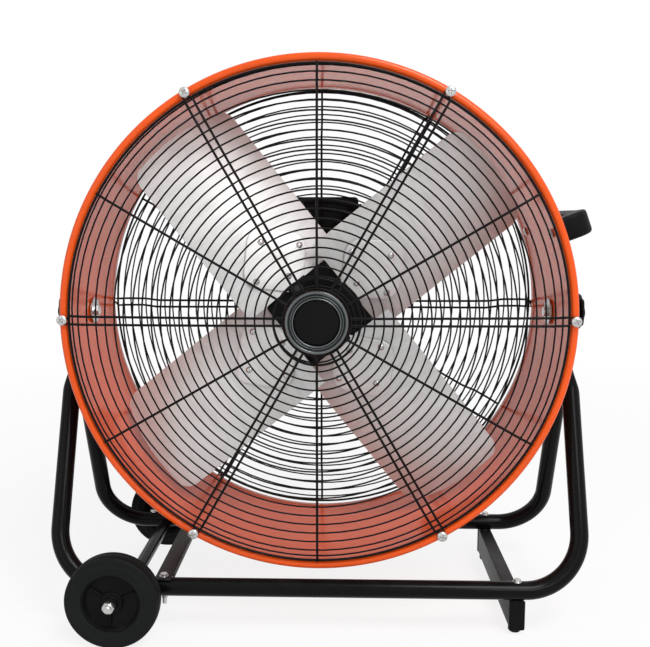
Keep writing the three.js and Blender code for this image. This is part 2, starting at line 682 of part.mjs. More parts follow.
// A lobed clamping knob on the pivot bolt's thread.
function tiltKnob(end, sign) {
  const start = ARM_X + TAB_THICK + 2 * GAP;
  const gripFrom = start + KNOB_NECK;
  const grip = plate(scallopedShape(KNOB_R, KNOB_R - 3, 8), KNOB_END_X - gripFrom);
  grip.rotateY(Math.PI / 2).translate(gripFrom, 0, 0);
  const neck = rodX(14, start, gripFrom + 1, 16);
  const body = cut(joined(grip, neck), rodX(PIVOT_BOLT_R + GAP, start - 1, KNOB_END_X + 1));
  const knob = piece("tilt_knob_" + end, body, BLACK_PLASTIC);
  if (sign < 0) knob.rotation.z = Math.PI;
  return knob;
}

// ---- motor and rotor ------------------------------------------------------------
function motor() {
  const shell = turned([
    [0, MOTOR_FRONT_Y], [MOTOR_R - 6, MOTOR_FRONT_Y], [MOTOR_R, MOTOR_FRONT_Y + 6],
    [MOTOR_R, MOTOR_BACK_Y - 6], [MOTOR_R - 6, MOTOR_BACK_Y], [0, MOTOR_BACK_Y],
  ], 28);
  const bellBack = MOTOR_FRONT_Y - GAP;
  const bellHole = SHAFT_R + GAP;
  const bell = turned([
    [bellHole, bellBack], [72, bellBack], [68, bellBack - 8], [30, bellBack - 14], [bellHole, bellBack - 14],
  ], 24);
  const plateDisc = rodY(84, MOTOR_BACK_Y + GAP, MOTOR_BACK_Y + GAP + 3, 32);
  return groupOf(
    piece("motor_shell", shell, BLACK_CASTING),
    piece("motor_end_bell", bell, BLACK_CASTING),
    piece("motor_mount_plate", plateDisc, BLACK_PAINT),
  );
}

function controlBox() {
  const shape = new THREE.Shape();
  shape.moveTo(-BOX_HALF + 8, BOX_LOW);
  shape.lineTo(BOX_HALF - 8, BOX_LOW);
  shape.lineTo(BOX_HALF, BOX_LOW + 8);
  shape.lineTo(BOX_HALF, BOX_HIGH);
  shape.lineTo(-BOX_HALF, BOX_HIGH);
  shape.lineTo(-BOX_HALF, BOX_LOW + 8);
  const alongY = (depth, from) => plate(shape, depth).rotateX(Math.PI / 2).translate(0, from + depth, 0);
  const sheet = 2;
  const inside = block(
    4 * sheet - BOX_HALF,
    BOX_HALF - 4 * sheet,
    BOX_FRONT_Y + sheet,
    BOX_BACK_Y + 1,
    BOX_LOW + sheet,
    BOX_HIGH - sheet,
  );
  const shell = cut(alongY(BOX_BACK_Y - BOX_FRONT_Y, BOX_FRONT_Y), inside);
  const gland = turned([[0, 0], [8, 0], [8, 4], [6, 10], [0, 10]], 12).rotateZ(-Math.PI / 2);
  return groupOf(
    piece("control_box", shell, BLACK_PAINT),
    piece("control_box_cover", alongY(2.5, BOX_BACK_Y + GAP), BLACK_PAINT),
    placed(piece("cord_gland", gland, BLACK_PLASTIC), BOX_HALF + GAP, (BOX_FRONT_Y + BOX_BACK_Y) / 2, GLAND_Z),
  );
}

function speedKnob() {
  const base = BOX_BACK_Y + 2.5 + 2 * GAP;
  const body = turned([[0, base], [17, base], [16, base + 7], [0, base + 7]], 20);
  const grip = block(-15.5, 15.5, base + 3, base + 17, -3.5, 3.5);
  return placed(piece("speed_knob", joined(body, grip), BLACK_PLASTIC), 0, 0, SPEED_KNOB_Z);
}

// A curved plate: an arc section run out along X, trimmed to the paddle's outline as seen along the axis.
function blade(name) {
  const reach = BLADE_TIP_R + 5;
  const half = BLADE_HALF_WIDTH / Math.cos(radians(BLADE_PITCH_DEG));
  const steps = 8;
  const front = [];
  const back = [];
  for (let i = 0; i <= steps; i++) {
    const v = half * (-1 + (2 * i) / steps);
    const rise = BLADE_CAMBER * ((v / half) ** 2 - 1 / 3);
    front.push(new THREE.Vector2(v, rise - BLADE_THICK / 2));
    back.push(new THREE.Vector2(v, rise + BLADE_THICK / 2));
  }
  const section = new THREE.Shape([...front, ...back.reverse()]);
  const sheet = plate(section, reach).rotateX(Math.PI / 2).rotateZ(Math.PI / 2).rotateX(-Math.PI / 2);
  return piece(name, common(pitched(sheet), bladeOutline()), ALUMINIUM);
}

// Leans a blade or pad so that its counter-clockwise side comes forward.
const pitched = (geometry) => geometry.rotateX(radians(BLADE_PITCH_DEG));

// The paddle's outline, as a prism along Y: straight sides, a tip that follows the bore, rounded corners.
function bladeOutline() {
  const side = BLADE_HALF_WIDTH;
  const tipAngle = Math.asin(side / BLADE_TIP_R);
  const soften = 0.075;
  const tip = (angle) => [BLADE_TIP_R * Math.cos(angle), BLADE_TIP_R * Math.sin(angle)];
  const corner = tip(tipAngle);
  const shape = new THREE.Shape();
  shape.moveTo(BLADE_BASE_R, -side);
  shape.lineTo(corner[0] - 22, -side);
  shape.quadraticCurveTo(corner[0], -corner[1], ...tip(soften - tipAngle));
  shape.absarc(0, 0, BLADE_TIP_R, soften - tipAngle, tipAngle - soften, false);
  shape.quadraticCurveTo(corner[0], corner[1], corner[0] - 22, side);
  shape.lineTo(BLADE_BASE_R, side);
  return plate(shape, 200, 4).translate(0, 0, -100).rotateX(Math.PI / 2);
}

function roundedSquare(half, round) {
  const shape = new THREE.Shape();
  const flat = half - round;
  shape.moveTo(-flat, -half);
  for (const [x, y] of [[1, -1], [1, 1], [-1, 1], [-1, -1]]) {
    const alongX = x * y < 0;
    shape.lineTo(x * (alongX ? flat : half), y * (alongX ? half : flat));
    shape.quadraticCurveTo(x * half, y * half, x * (alongX ? half : flat), y * (alongX ? flat : half));
  }
  return shape;
}

// The hub plate, its collar, and one pad with four rivet heads in front of each blade.
function bladeSpider() {
  const half = BLADE_BASE_R - 2.5;
  const front = -6;
  const parts = [block(-half, half, front, front + 4, -half, half), rodY(20, front - 8, 16, 20)];
  const lift = BLADE_THICK / 2 + BLADE_CAMBER / 3 + 2 * GAP;
  const thick = 2.5;
  const pad = plate(roundedSquare(PAD_SIDE / 2, PAD_ROUND), thick, 3).rotateZ(Math.PI / 4).rotateX(Math.PI / 2);
  const rivet = turned([[0, 1], [4.5, 1], [3.5, -2], [0, -2.4]], 6);
  for (let i = 0; i < BLADES; i++) {
    const arm = [pad.clone().translate(PAD_R, -lift, PAD_AHEAD), block(22, 76, -lift - 4, -lift, -15, 15)];
    for (const [u, v] of [[PAD_R + 30, 0], [PAD_R - 5, -39], [PAD_R - 28, 0], [PAD_R - 5, 39]]) {
      arm.push(rivet.clone().translate(u, -lift - thick, v + PAD_AHEAD));
    }
    for (const geometry of arm) parts.push(pitched(geometry).rotateY(-(i * Math.PI) / 2));
  }
  return piece("blade_spider", cut(joined(...parts), rodY(SHAFT_R + GAP, -HUB_REACH, HUB_REACH, 16)), ZINC);
}

function rotor() {
  const group = groupOf(bladeSpider());
  for (let i = 0; i < BLADES; i++) {
    const made = blade("blade_" + (i + 1));
    made.rotation.y = -(i * Math.PI) / 2;
    group.add(made);
  }
  group.position.y = BLADE_Y;
  group.rotation.y = -radians(BLADE_FIRST_DEG);
  const shaft = piece("motor_shaft", rodY(SHAFT_R, BLADE_Y - 17, MOTOR_FRONT_Y - 2 * GAP, 16), ZINC);
  return groupOf(group, shaft);
}

// ---- the whole fan ------------------------------------------------------------
function drum() {
  const front = piece("front_guard", guardWires(FRONT_LINE, -1), BLACK_WIRE);
  front.rotation.x = Math.PI;
  const group = groupOf(
    drumShell(),
    front,
    piece("rear_guard", guardWires(REAR_LINE, 1), BLACK_WIRE),
    badge(),
    handle(),
    motor(),
    controlBox(),
    speedKnob(),
    rotor(),
  );
  for (const [end, sign] of [["left", -1], ["right", 1]]) {
    group.add(pivotStack(end, sign), tiltKnob(end, sign));
  }
  for (let i = 0; i < SPOKE_PAIRS; i++) {
    group.add(guardScrew("front_guard_screw_" + (i + 1), (360 * i) / SPOKE_PAIRS, -1));
    if (i % 2 === 0) group.add(guardScrew("rear_guard_screw_" + (i / 2 + 1), (360 * i) / SPOKE_PAIRS, 1));
  }
  group.position.z = AXIS_Z;
  return group;
}

const fan = groupOf(stand(), wheel("front", -1), wheel("rear", 1), drum());
export default fan;
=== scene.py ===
import math

import bpy
import numpy as np
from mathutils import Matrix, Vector
from bpy.props import FloatProperty, FloatVectorProperty, IntProperty, PointerProperty


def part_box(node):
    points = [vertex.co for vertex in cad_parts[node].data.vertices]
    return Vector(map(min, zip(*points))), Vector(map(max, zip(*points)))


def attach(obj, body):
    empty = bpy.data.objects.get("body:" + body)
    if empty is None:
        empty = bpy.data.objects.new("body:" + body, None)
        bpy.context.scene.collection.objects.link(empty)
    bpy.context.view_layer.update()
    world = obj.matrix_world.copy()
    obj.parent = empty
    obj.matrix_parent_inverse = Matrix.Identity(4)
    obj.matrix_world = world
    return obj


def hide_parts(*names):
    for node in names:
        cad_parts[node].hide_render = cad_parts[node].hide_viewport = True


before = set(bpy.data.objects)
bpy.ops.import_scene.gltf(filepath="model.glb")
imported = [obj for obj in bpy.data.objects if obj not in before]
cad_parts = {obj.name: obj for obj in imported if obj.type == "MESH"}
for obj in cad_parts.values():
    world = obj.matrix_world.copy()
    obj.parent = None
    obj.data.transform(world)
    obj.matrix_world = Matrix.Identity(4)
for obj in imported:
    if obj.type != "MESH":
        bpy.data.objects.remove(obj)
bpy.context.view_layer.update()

bl_info = {
    "name": "Drum Fan Builder",
    "version": (1, 0, 0),
    "blender": (4, 5, 0),
    "location": "View3D > Sidebar > Drum Fan",
    "description": "Builds a drum fan on a wheeled stand, with its materials, floor and lamps",
    "category": "Add Mesh",
}

# Spoke pairs round each guard. A screw holds each pair in front, and every second one behind.
PAIRS = 6
BLADES = 4
SIDES = (("left", -1), ("right", 1))
ENDS = (("front", -1), ("rear", 1))
LOOPS = {-1: "front_loop_tube", 1: "rear_loop_tube"}


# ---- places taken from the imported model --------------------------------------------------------
def centre(node):
    """Middle of a CAD node's box."""
    low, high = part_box(node)
    return np.array((low + high) / 2)


def half_size(node):
    """Half of a CAD node's box, along X, Y and Z."""
    low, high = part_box(node)
    return np.array((high - low) / 2)


AXIS = centre("drum_shell")
RIM_R, DEPTH = half_size("drum_shell")[[0, 1]]
SQUARE = np.eye(3)
X, Y, Z = SQUARE

# Axes of a shape whose own y, which runs through it, points to the front or upwards.
FORWARD = np.diag([1, -1, -1])
UP = np.stack([X, Z, -Y])


def axes_of(along, through):
    """Axes from two directions square to each other; the third is square to both."""
    return np.stack([along, through, np.cross(along, through)])


def at_depth(node, y):
    """The middle of a node's box as seen from the front, at the depth y."""
    return centre(node) * [1, 0, 1] + Y * y


def at_height(node, z):
    """The middle of a node's box as seen from above, at the height z."""
    return centre(node) * [1, 1, 0] + Z * z


def on_axis(y):
    """The point of the drum's axis at the depth y."""
    return AXIS * [1, 0, 1] + Y * y


def polar(radius, degrees):
    """A point in the plane of the drum, at an angle from +X towards +Z."""
    t = math.radians(degrees)
    return radius * (math.cos(t) * X + math.sin(t) * Z)


# ---- settings ----------------------------------------------------------------------------------
def length(name, description, value):
    """A distance setting in metres."""
    return FloatProperty(
        name=name, description=description, default=value, unit="LENGTH", subtype="DISTANCE",
    )


def angle(name, description, degrees):
    """An angle setting, given in degrees and kept in radians."""
    return FloatProperty(name=name, description=description, default=math.radians(degrees), subtype="ANGLE")


def count(name, description, value):
    """A whole-number setting."""
    return IntProperty(name=name, description=description, default=value, min=3)


def colour(name, description, value):
    """A colour setting, as linear red, green and blue."""
    return FloatVectorProperty(
        name=name, description=description, default=value, size=3, min=0.0, max=1.0, subtype="COLOR",
    )


class ColourSettings(bpy.types.PropertyGroup):
    """The fan's colours."""

    drum: colour("Drum", "Powder coat of the drum", (0.80, 0.086, 0.004))
    steel: colour("Steel", "Paint of the tubes, bars and boxes", (0.0042, 0.0042, 0.0045))
    wire: colour("Wire", "Coating of the guards", (0.0040, 0.0035, 0.0035))
    blade: colour("Blade", "Sheet of the blades", (0.70, 0.70, 0.695))
    zinc: colour("Zinc", "Plating of the bolts and screws", (0.50, 0.52, 0.55))
    plastic: colour("Plastic", "Handle, knobs and caps", (0.0045, 0.0047, 0.005))
    ring: colour("Ring", "Ring of the guard's badge", (0.11, 0.12, 0.12))
    rubber: colour("Rubber", "Tyres and feet", (0.0060, 0.0066, 0.0066))


class DrumSettings(bpy.types.PropertyGroup):
    """The drum's wall and its rolled beads."""

    bore: length("Bore", "Inner radius of the wall", 0.320)
    wall: length("Wall", "Thickness of the wall", 0.0015)
    bead: length("Bead", "Radius of the rolled bead's section", 0.0055)
    seam: length("Seam", "Height of the lap seam over the wall", 0.0009)
    seam_half: angle("Half seam", "Half the angle that the lap seam takes up", 2)
    steps: count("Steps", "Columns round the drum", 256)


class GuardSettings(bpy.types.PropertyGroup):
    """The wires of both guards."""

    spoke: length("Spoke", "Radius of the spokes", 0.0016)
    spiral: length("Spiral wire", "Radius of the spiral's wire", 0.0011)
    pitch: length("Pitch", "Distance between turns of the spiral", 0.0119)
    start: angle("Start", "Where the spiral begins, from +X", 157)
    first: length("First turn", "Radius where the spiral begins, at the front", 0.043)
    hub_ring: length("Hub ring", "Radius of the innermost ring, at the front", 0.042)
    face: length("Face", "Radius of the domed face, at the front", 0.300)
    dome: length("Dome", "How far the front face's shoulder lies behind its middle", 0.010)
    shoulder: length("Shoulder", "Radius where the face turns back to the rim", 0.304)
    hub_gap: length("Hub gap", "Distance between the two innermost rings", 0.0125)
    edge: length("Edge ring", "Radius of the outer ring", 0.316)
    screw_circle: length("Screw circle", "Radius of the circle of screws", 0.3245)
    pair_half: length("Half pair", "Half the distance between the wires of a pair", 0.0052)


class RotorSettings(bpy.types.PropertyGroup):
    """The blades and their hub."""

    first: angle("First blade", "Direction of the first blade, from +X", 39)
    pitch: angle("Pitch", "Lean of a blade about its own length", 20)
    tip: length("Tip", "Radius of the blades' tips", 0.305)
    base: length("Base", "Radius of the blades' inner edges", 0.052)
    half_width: length("Half width", "Half the width of a blade as seen along the axis", 0.0755)
    thick: length("Thickness", "Thickness of the sheet", 0.002)
    camber: length("Camber", "Rise of a blade's middle over its edges", 0.007)
    corner: length("Corner", "Radius of a blade's tip corners", 0.024)
    pad_circle: length("Pad circle", "Radius of the circle of pads", 0.0934)
    pad_ahead: length("Pad lead", "Distance of a pad from its blade's middle line", 0.0027)
    pad_half: length("Half pad", "Half the side of a pad", 0.0415)
    pad_thick: length("Pad thickness", "Thickness of a pad", 0.003)
    plate_half: length("Half hub plate", "Half the side of the hub plate", 0.052)


class StandSettings(bpy.types.PropertyGroup):
    """The bent tubes of the stand."""

    tube: length("Tube", "Radius of the tube", 0.0118)
    front_bend: length("Front bend", "Radius of the front corners' middle line", 0.075)
    rear_bend: length("Rear bend", "Radius of the rear corners' middle line", 0.066)
    tab: length("Tab", "Half width of a flattened end", 0.017)
    press_low: length("Press start", "Height where the flattening starts", 0.300)
    press_high: length("Press end", "Height where the tube is flat", 0.338)
    knee: length("Knee", "Height where the arms' middle lines meet", 0.377)


# ---- surfaces ----------------------------------------------------------------------------------
class Surface:
    """The shells of one piece: points, faces and each point's place before it was turned into position."""

    def __init__(self):
        self.points = []
        self.local = []
        self.quads = []
        self.tris = []
        self.total = 0

    def add(self, rings, place=None, loop=False, ends=(None, None)):
        """Closes a shell over rings of points: quads join each ring to the next. Loop joins the last ring
        to the first; otherwise a fan to a middle point closes each end. Place is (origin, axes): a point
        goes to the origin plus its coordinates along the three axes."""
        rings = np.asarray(rings, float)
        stations, columns = rings.shape[:2]
        flat = rings.reshape(-1, 3)
        row = np.arange(stations if loop else stations - 1)[:, None] * columns
        following = (row + columns) % (stations * columns)
        here = np.arange(columns)[None, :]
        beside = (here + 1) % columns
        quads = np.stack([row + here, row + beside, following + beside, following + here], -1)
        quads = quads.reshape(-1, 4)
        tris = np.zeros((0, 3), int)
        if not loop:
            middles = [
                rings[0].mean(0) if ends[0] is None else np.asarray(ends[0], float),
                rings[-1].mean(0) if ends[1] is None else np.asarray(ends[1], float),
            ]
            around = np.arange(columns)
            after = (around + 1) % columns
            top = (stations - 1) * columns
            first = np.stack([after, around, np.full(columns, len(flat))], -1)
            last = np.stack([top + around, top + after, np.full(columns, len(flat) + 1)], -1)
            tris = np.concatenate([first, last])
            flat = np.concatenate([flat, middles])
        placed = flat if place is None else place[0] + flat @ np.asarray(place[1], float)
        middle = placed.mean(0)
        corners = np.concatenate([quads[:, [0, 1, 2]], quads[:, [0, 2, 3]], tris])
        a, b, c = (placed[corners[:, k]] - middle for k in range(3))
        if np.einsum("ij,ij->i", a, np.cross(b, c)).sum() < 0:
            quads, tris = quads[:, ::-1], tris[:, ::-1]
        self.points.append(placed)
        self.local.append(flat)
        self.quads.append(quads + self.total)
        self.tris.append(tris + self.total)
        self.total += len(flat)
        return self

    def mesh(self, name):
        """The shells as one mesh; its attribute "own" holds each point's place before it was turned."""
        points = np.concatenate(self.points)
        quads, tris = np.concatenate(self.quads), np.concatenate(self.tris)
        mesh = bpy.data.meshes.new(name)
        mesh.vertices.add(len(points))
        mesh.vertices.foreach_set("co", points.astype(np.float32).ravel())
        corners = np.concatenate([quads.ravel(), tris.ravel()])
        mesh.loops.add(len(corners))
        mesh.loops.foreach_set("vertex_index", corners.astype(np.int32))
        starts = np.concatenate([np.arange(len(quads)) * 4, quads.size + np.arange(len(tris)) * 3])
        mesh.polygons.add(len(starts))
        mesh.polygons.foreach_set("loop_start", starts.astype(np.int32))
        mesh.update(calc_edges=True)
        own = mesh.attributes.new("own", "FLOAT_VECTOR", "POINT")
        own.data.foreach_set("vector", np.concatenate(self.local).astype(np.float32).ravel())
        mesh.validate()
        return mesh


def put(surface, name, finish, body, nodes=(), sharp=32):
    """Makes the piece with its finish, riding on its body and standing for its CAD nodes. Edges that turn by
    more degrees than sharp stay sharp."""
    material = FINISHES[finish]
    mesh = surface.mesh(name)
    mesh.polygons.foreach_set("use_smooth", np.ones(len(mesh.polygons), bool))
    mesh.set_sharp_from_angle(angle=math.radians(sharp))
    mesh.materials.append(material.made)
    piece = bpy.data.objects.new(name, mesh)
    bpy.context.scene.collection.objects.link(piece)
    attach(piece, body)
    if nodes:
        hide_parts(*nodes)
    return piece


def unit(vectors):
    """Vectors over their own lengths."""
    vectors = np.asarray(vectors, float)
    return vectors / np.linalg.norm(vectors, axis=-1, keepdims=True)


def turns(steps):
    """Angles evenly spaced round a circle, from 0."""
    return np.arange(steps) * 2 * np.pi / steps


def circle(radius, steps):
    """Points of a circle in a plane, as (steps, 2)."""
    t = turns(steps)
    return radius * np.stack([np.cos(t), np.sin(t)], -1)


def revolve(profile, steps, ripple=None):
    """Surface of revolution about Y: a profile point (r, y) goes to (r cos t, y, r sin t). Ripple gives what
    is added to the radius, from arrays of the radii, the heights and the angles."""
    profile = np.asarray(profile, float)
    t = turns(steps)
    r = np.repeat(profile[:, :1], steps, 1)
    y = np.repeat(profile[:, 1:], steps, 1)
    if ripple is not None:
        r = r + ripple(r, y, t[None, :])
    return np.stack([r * np.cos(t), y, r * np.sin(t)], -1)


def smooth_profile(points, radius, steps=5):
    """A profile with its inner corners rounded to the given radius, shortened where the sides are short."""
    flat = np.asarray(points, float)
    spatial = np.concatenate([flat, np.zeros((len(flat), 1))], 1)
    return fillet(spatial, radius, steps)[:, :2]


def fillet(corners, radius, steps=8):
    """Path through corners, each inner one replaced by an arc that touches both sides. Radius is one number
    or one per inner corner; it is reduced where less than half a side is left."""
    corners = np.asarray(corners, float)
    before = unit(corners[1:-1] - corners[:-2])
    after = unit(corners[2:] - corners[1:-1])
    room = np.linalg.norm(np.diff(corners, axis=0), axis=1) / 2.02
    turn = np.arccos(np.clip((before * after).sum(1), -1, 1))
    bend = np.maximum(np.tan(turn / 2), 1e-6)
    radius = np.minimum(np.broadcast_to(radius, turn.shape), np.minimum(room[:-1], room[1:]) / bend)
    side = after - before * (before * after).sum(1, keepdims=True)
    side = side / np.maximum(np.linalg.norm(side, axis=1, keepdims=True), 1e-9)
    t = turn[:, None] * np.linspace(0, 1, steps + 1)[None, :]
    start = corners[1:-1] - before * (radius * bend)[:, None]
    along = (radius[:, None] * np.sin(t))[..., None] * before[:, None, :]
    across = (radius[:, None] * (1 - np.cos(t)))[..., None] * side[:, None, :]
    arcs = (start[:, None, :] + along + across).reshape(-1, 3)
    return np.concatenate([corners[:1], arcs, corners[-1:]])


def sweep(path, section, up):
    """Rings of a section carried along a path: a section point (a, b) goes to the path's point plus a across
    and b along the up direction made square to the path. The section may differ from station to station."""
    path = np.asarray(path, float)
    along = unit(np.gradient(path, axis=0))
    across = unit(np.cross(along, up))
    above = np.cross(across, along)
    section = np.broadcast_to(section, (len(path),) + np.shape(section)[-2:])
    return path[:, None, :] + section[..., :1] * across[:, None, :] + section[..., 1:] * above[:, None, :]


def run_along(path):
    """Distance along a path at each of its points."""
    return np.concatenate([[0], np.cumsum(np.linalg.norm(np.diff(path, axis=0), axis=1))])


def resample(path, spacing):
    """The path with points added so that none are further apart than the spacing."""
    path = np.asarray(path, float)
    run = run_along(path)
    even = np.arange(1, int(run[-1] / spacing)) * spacing
    at = np.unique(np.round(np.concatenate([run, even]), 7))
    at = at[np.concatenate([[True], np.diff(at) > spacing * 0.05])]
    return np.stack([np.interp(at, run, path[:, k]) for k in range(3)], -1)


def rounded_box(half_x, half_y, radius, steps=6):
    """Outline of a rectangle with round corners, as (points, 2)."""
    t = np.linspace(0, np.pi / 2, steps)
    quarter = np.stack([np.cos(t), np.sin(t)], -1) * radius + [half_x - radius, half_y - radius]
    flipped = quarter[::-1] * [-1, 1]
    upper = np.concatenate([quarter, flipped])
    return np.concatenate([upper, upper[::-1] * [1, -1]])


def regular(sides, radius, per_side=4):
    """Outline of a regular polygon, with points along its sides, as (points, 2)."""
    corners = circle(radius, sides)
    share = np.arange(per_side)[None, :, None] / per_side
    return (corners[:, None] * (1 - share) + np.roll(corners, -1, 0)[:, None] * share).reshape(-1, 2)


def slab(outline, low, high, edge, steps=4):
    """Rings of a plate along Y between two heights, its rims rounded: near each face the outline draws in by
    the edge radius times (1 - cos) while the height follows the sine."""
    outline = np.asarray(outline, float)
    lead = np.roll(outline, -1, 0) - np.roll(outline, 1, 0)
    normal = unit(np.stack([lead[:, 1], -lead[:, 0]], -1))
    outward = np.sign((normal * (outline - outline.mean(0))).sum())
    normal = normal * (outward if outward else 1)
    t = np.linspace(0, np.pi / 2, steps + 1)
    insets = np.concatenate([edge * (1 - np.sin(t)), edge * (1 - np.cos(t))])
    heights = np.concatenate([low + edge * (1 - np.cos(t)), high - edge * (1 - np.sin(t))])
    shape = outline[None] - normal[None] * insets[:, None, None]
    y = np.broadcast_to(heights[:, None], shape.shape[:2])
    return np.stack([shape[..., 0], y, shape[..., 1]], -1)


# ---- materials ---------------------------------------------------------------------------------
class Finish:
    """A procedural material: nodes are added one by one and linked as they are made."""

    def __init__(self, name, slot):
        self.slot = slot
        self.made = bpy.data.materials.new(name)
        self.made.use_nodes = True
        self.tree = self.made.node_tree
        self.shader = self.tree.nodes["Principled BSDF"]
        self.where = self.add("ShaderNodeTexCoord").outputs["Object"]
        own = self.add("ShaderNodeAttribute")
        own.attribute_name = "own"
        self.own = own.outputs["Vector"]

    def plug(self, socket, value):
        """Links the socket to another one, or sets it to a value."""
        if isinstance(value, bpy.types.NodeSocket):
            self.tree.links.new(value, socket)
        else:
            socket.default_value = value

    def fill(self, node, inputs):
        """Plugs a node's inputs by name; an underscore in a name stands for a space."""
        for name, value in inputs.items():
            self.plug(node.inputs[name.replace("_", " ")], value)
        return node

    def add(self, kind, **inputs):
        """A new node with its inputs plugged."""
        return self.fill(self.tree.nodes.new(kind), inputs)

    def set(self, **inputs):
        """Plugs the shader's own sockets."""
        self.fill(self.shader, inputs)

    def noise(self, scale, detail=3.0, stretch=(1, 1, 1), where=None, rough=0.5):
        """Noise from 0 to 1 over the place, stretched along the axes whose factor is small."""
        mapped = self.add("ShaderNodeMapping", Vector=where or self.where, Scale=stretch)
        made = self.add(
            "ShaderNodeTexNoise", Vector=mapped.outputs[0], Scale=scale, Detail=detail, Roughness=rough,
        )
        return made.outputs["Fac"]

    def ramp(self, value, low, high, to_low, to_high):
        """A value carried from one range to another, held at the ends."""
        made = self.add(
            "ShaderNodeMapRange", Value=value, From_Min=low, From_Max=high, To_Min=to_low, To_Max=to_high,
        )
        return made.outputs[0]

    def math(self, operation, first, second):
        """Two values put through one operation."""
        node = self.tree.nodes.new("ShaderNodeMath")
        node.operation = operation
        for socket, value in zip(node.inputs, (first, second)):
            self.plug(socket, value)
        return node.outputs[0]

    def mix(self, factor, first, second):
        """Two colours mixed by a factor; each is a socket or a red, green, blue triple."""
        node = self.tree.nodes.new("ShaderNodeMix")
        node.data_type = "RGBA"
        self.plug(node.inputs[0], factor)
        for socket, value in ((node.inputs[6], first), (node.inputs[7], second)):
            self.plug(socket, (*value, 1.0) if isinstance(value, tuple) else value)
        return node.outputs[2]

    def facing_up(self):
        """1 where the surface faces straight up, 0 where it is upright or faces down."""
        geometry = self.tree.nodes.new("ShaderNodeNewGeometry")
        split = self.add("ShaderNodeSeparateXYZ", Vector=geometry.outputs["Normal"])
        return self.ramp(split.outputs["Z"], 0.2, 1.0, 0.0, 1.0)

    def bump(self, height, distance, strength=1.0, under=None):
        """A bump from a height, over another one if given."""
        node = self.add("ShaderNodeBump", Height=height, Distance=distance, Strength=strength)
        if under is not None:
            self.tree.links.new(under, node.inputs["Normal"])
        return node.outputs[0]


def toned(tone, factor):
    """A colour made darker by a factor under 1, or lighter by one over 1."""
    return tuple(part * factor for part in tone)


def painted(name, slot, tone, rough, level):
    """Powder-coated steel: two close tones, an orange-peel bump, rubbed patches and a little dust."""
    f = Finish(name, slot)
    broad = f.noise(7.0, 4.0)
    base = f.mix(f.ramp(broad, 0.3, 0.7, 0.0, 1.0), tone, toned(tone, 0.86))
    settled = f.math("MULTIPLY", f.facing_up(), f.ramp(f.noise(38.0, 5.0), 0.35, 0.75, 0.0, 0.02))
    base = f.mix(settled, base, (0.30, 0.29, 0.27))
    scuffs = f.ramp(f.noise(60.0, 6.0, (1, 1, 6)), 0.55, 0.8, 0.0, 0.12)
    roughness = f.math("ADD", f.math("ADD", scuffs, rough), f.math("MULTIPLY", settled, 0.4))
    orange_peel = f.bump(f.noise(650.0, 2.0), 0.00008, 0.35)
    f.set(Base_Color=base, Roughness=roughness, Normal=orange_peel, Specular_IOR_Level=level)
    return f


def wire_coat(tone):
    """Thin black coating over wire: a fine bump, patches that shine more and paler rubbed spots."""
    f = Finish("coated_wire", "guard_wire")
    rubbed = f.ramp(f.noise(90.0, 4.0), 0.58, 0.75, 0.0, 0.2)
    base = f.mix(rubbed, tone, (0.03, 0.028, 0.027))
    roughness = f.ramp(f.noise(140.0, 3.0), 0.3, 0.7, 0.30, 0.48)
    f.set(Base_Color=base, Roughness=roughness, Normal=f.bump(f.noise(900.0, 2.0), 0.00008, 0.6))
    f.set(Specular_IOR_Level=0.1)
    return f


def sheet_aluminium(name, tone):
    """Rolled aluminium: streaks across the sheet, fine scratches, finger smudges and a soft bump."""
    f = Finish(name, "blade_aluminium")
    streaks = f.noise(150.0, 5.0, (1, 1, 0.05), f.own)
    clouds = f.noise(9.0, 4.0, where=f.own)
    base = f.mix(f.ramp(clouds, 0.3, 0.7, 0.0, 1.0), toned(tone, 0.88), tone)
    base = f.mix(f.ramp(streaks, 0.42, 0.62, 0.0, 0.5), base, toned(tone, 0.78))
    scratches = f.ramp(f.noise(700.0, 2.0, (1, 1, 0.06), f.own), 0.62, 0.7, 0.0, 0.16)
    smudge = f.ramp(f.noise(24.0, 5.0), 0.45, 0.75, 0.0, 0.14)
    roughness = f.math("ADD", f.math("ADD", scratches, smudge), 0.38)
    height = f.math("ADD", streaks, f.math("MULTIPLY", clouds, 2.0))
    f.set(Base_Color=base, Roughness=roughness, Metallic=0.4, Normal=f.bump(height, 0.0003, 0.5))
    return f


def zinc_plate(tone):
    """Bright zinc plating: a faint bluish and yellowish cloud, spangle, and dull spots."""
    f = Finish("bright_zinc", "zinc_plate")
    cloud = f.ramp(f.noise(220.0, 3.0), 0.35, 0.65, 0.0, 1.0)
    base = f.mix(cloud, tone, (tone[0] * 1.08, tone[1], tone[2] * 0.86))
    dull = f.ramp(f.noise(640.0, 4.0), 0.55, 0.75, 0.0, 0.35)
    base = f.mix(dull, base, toned(tone, 0.5))
    f.set(Base_Color=base, Roughness=f.math("ADD", dull, 0.24), Metallic=0.9)
    f.set(Normal=f.bump(f.noise(1500.0, 2.0), 0.00006, 0.5))
    return f


def moulded(name, slot, tone, rough, grain=0.00014, scale=1600.0, metal=0.0, level=0.06):
    """Moulded plastic: a grain of the given depth and scale, worn shiny patches and a little dust."""
    f = Finish(name, slot)
    worn = f.ramp(f.noise(45.0, 4.0), 0.5, 0.75, 0.0, 0.15)
    base = f.mix(f.ramp(f.noise(12.0, 3.0), 0.3, 0.7, 0.0, 1.0), tone, toned(tone, 1.2))
    settled = f.math("MULTIPLY", f.facing_up(), f.ramp(f.noise(60.0, 4.0), 0.4, 0.8, 0.0, 0.05))
    base = f.mix(settled, base, (0.3, 0.29, 0.28))
    f.set(Base_Color=base, Roughness=f.math("SUBTRACT", rough, worn), Metallic=metal)
    f.set(Normal=f.bump(f.noise(scale, 3.0), grain, 0.7), Specular_IOR_Level=level)
    return f


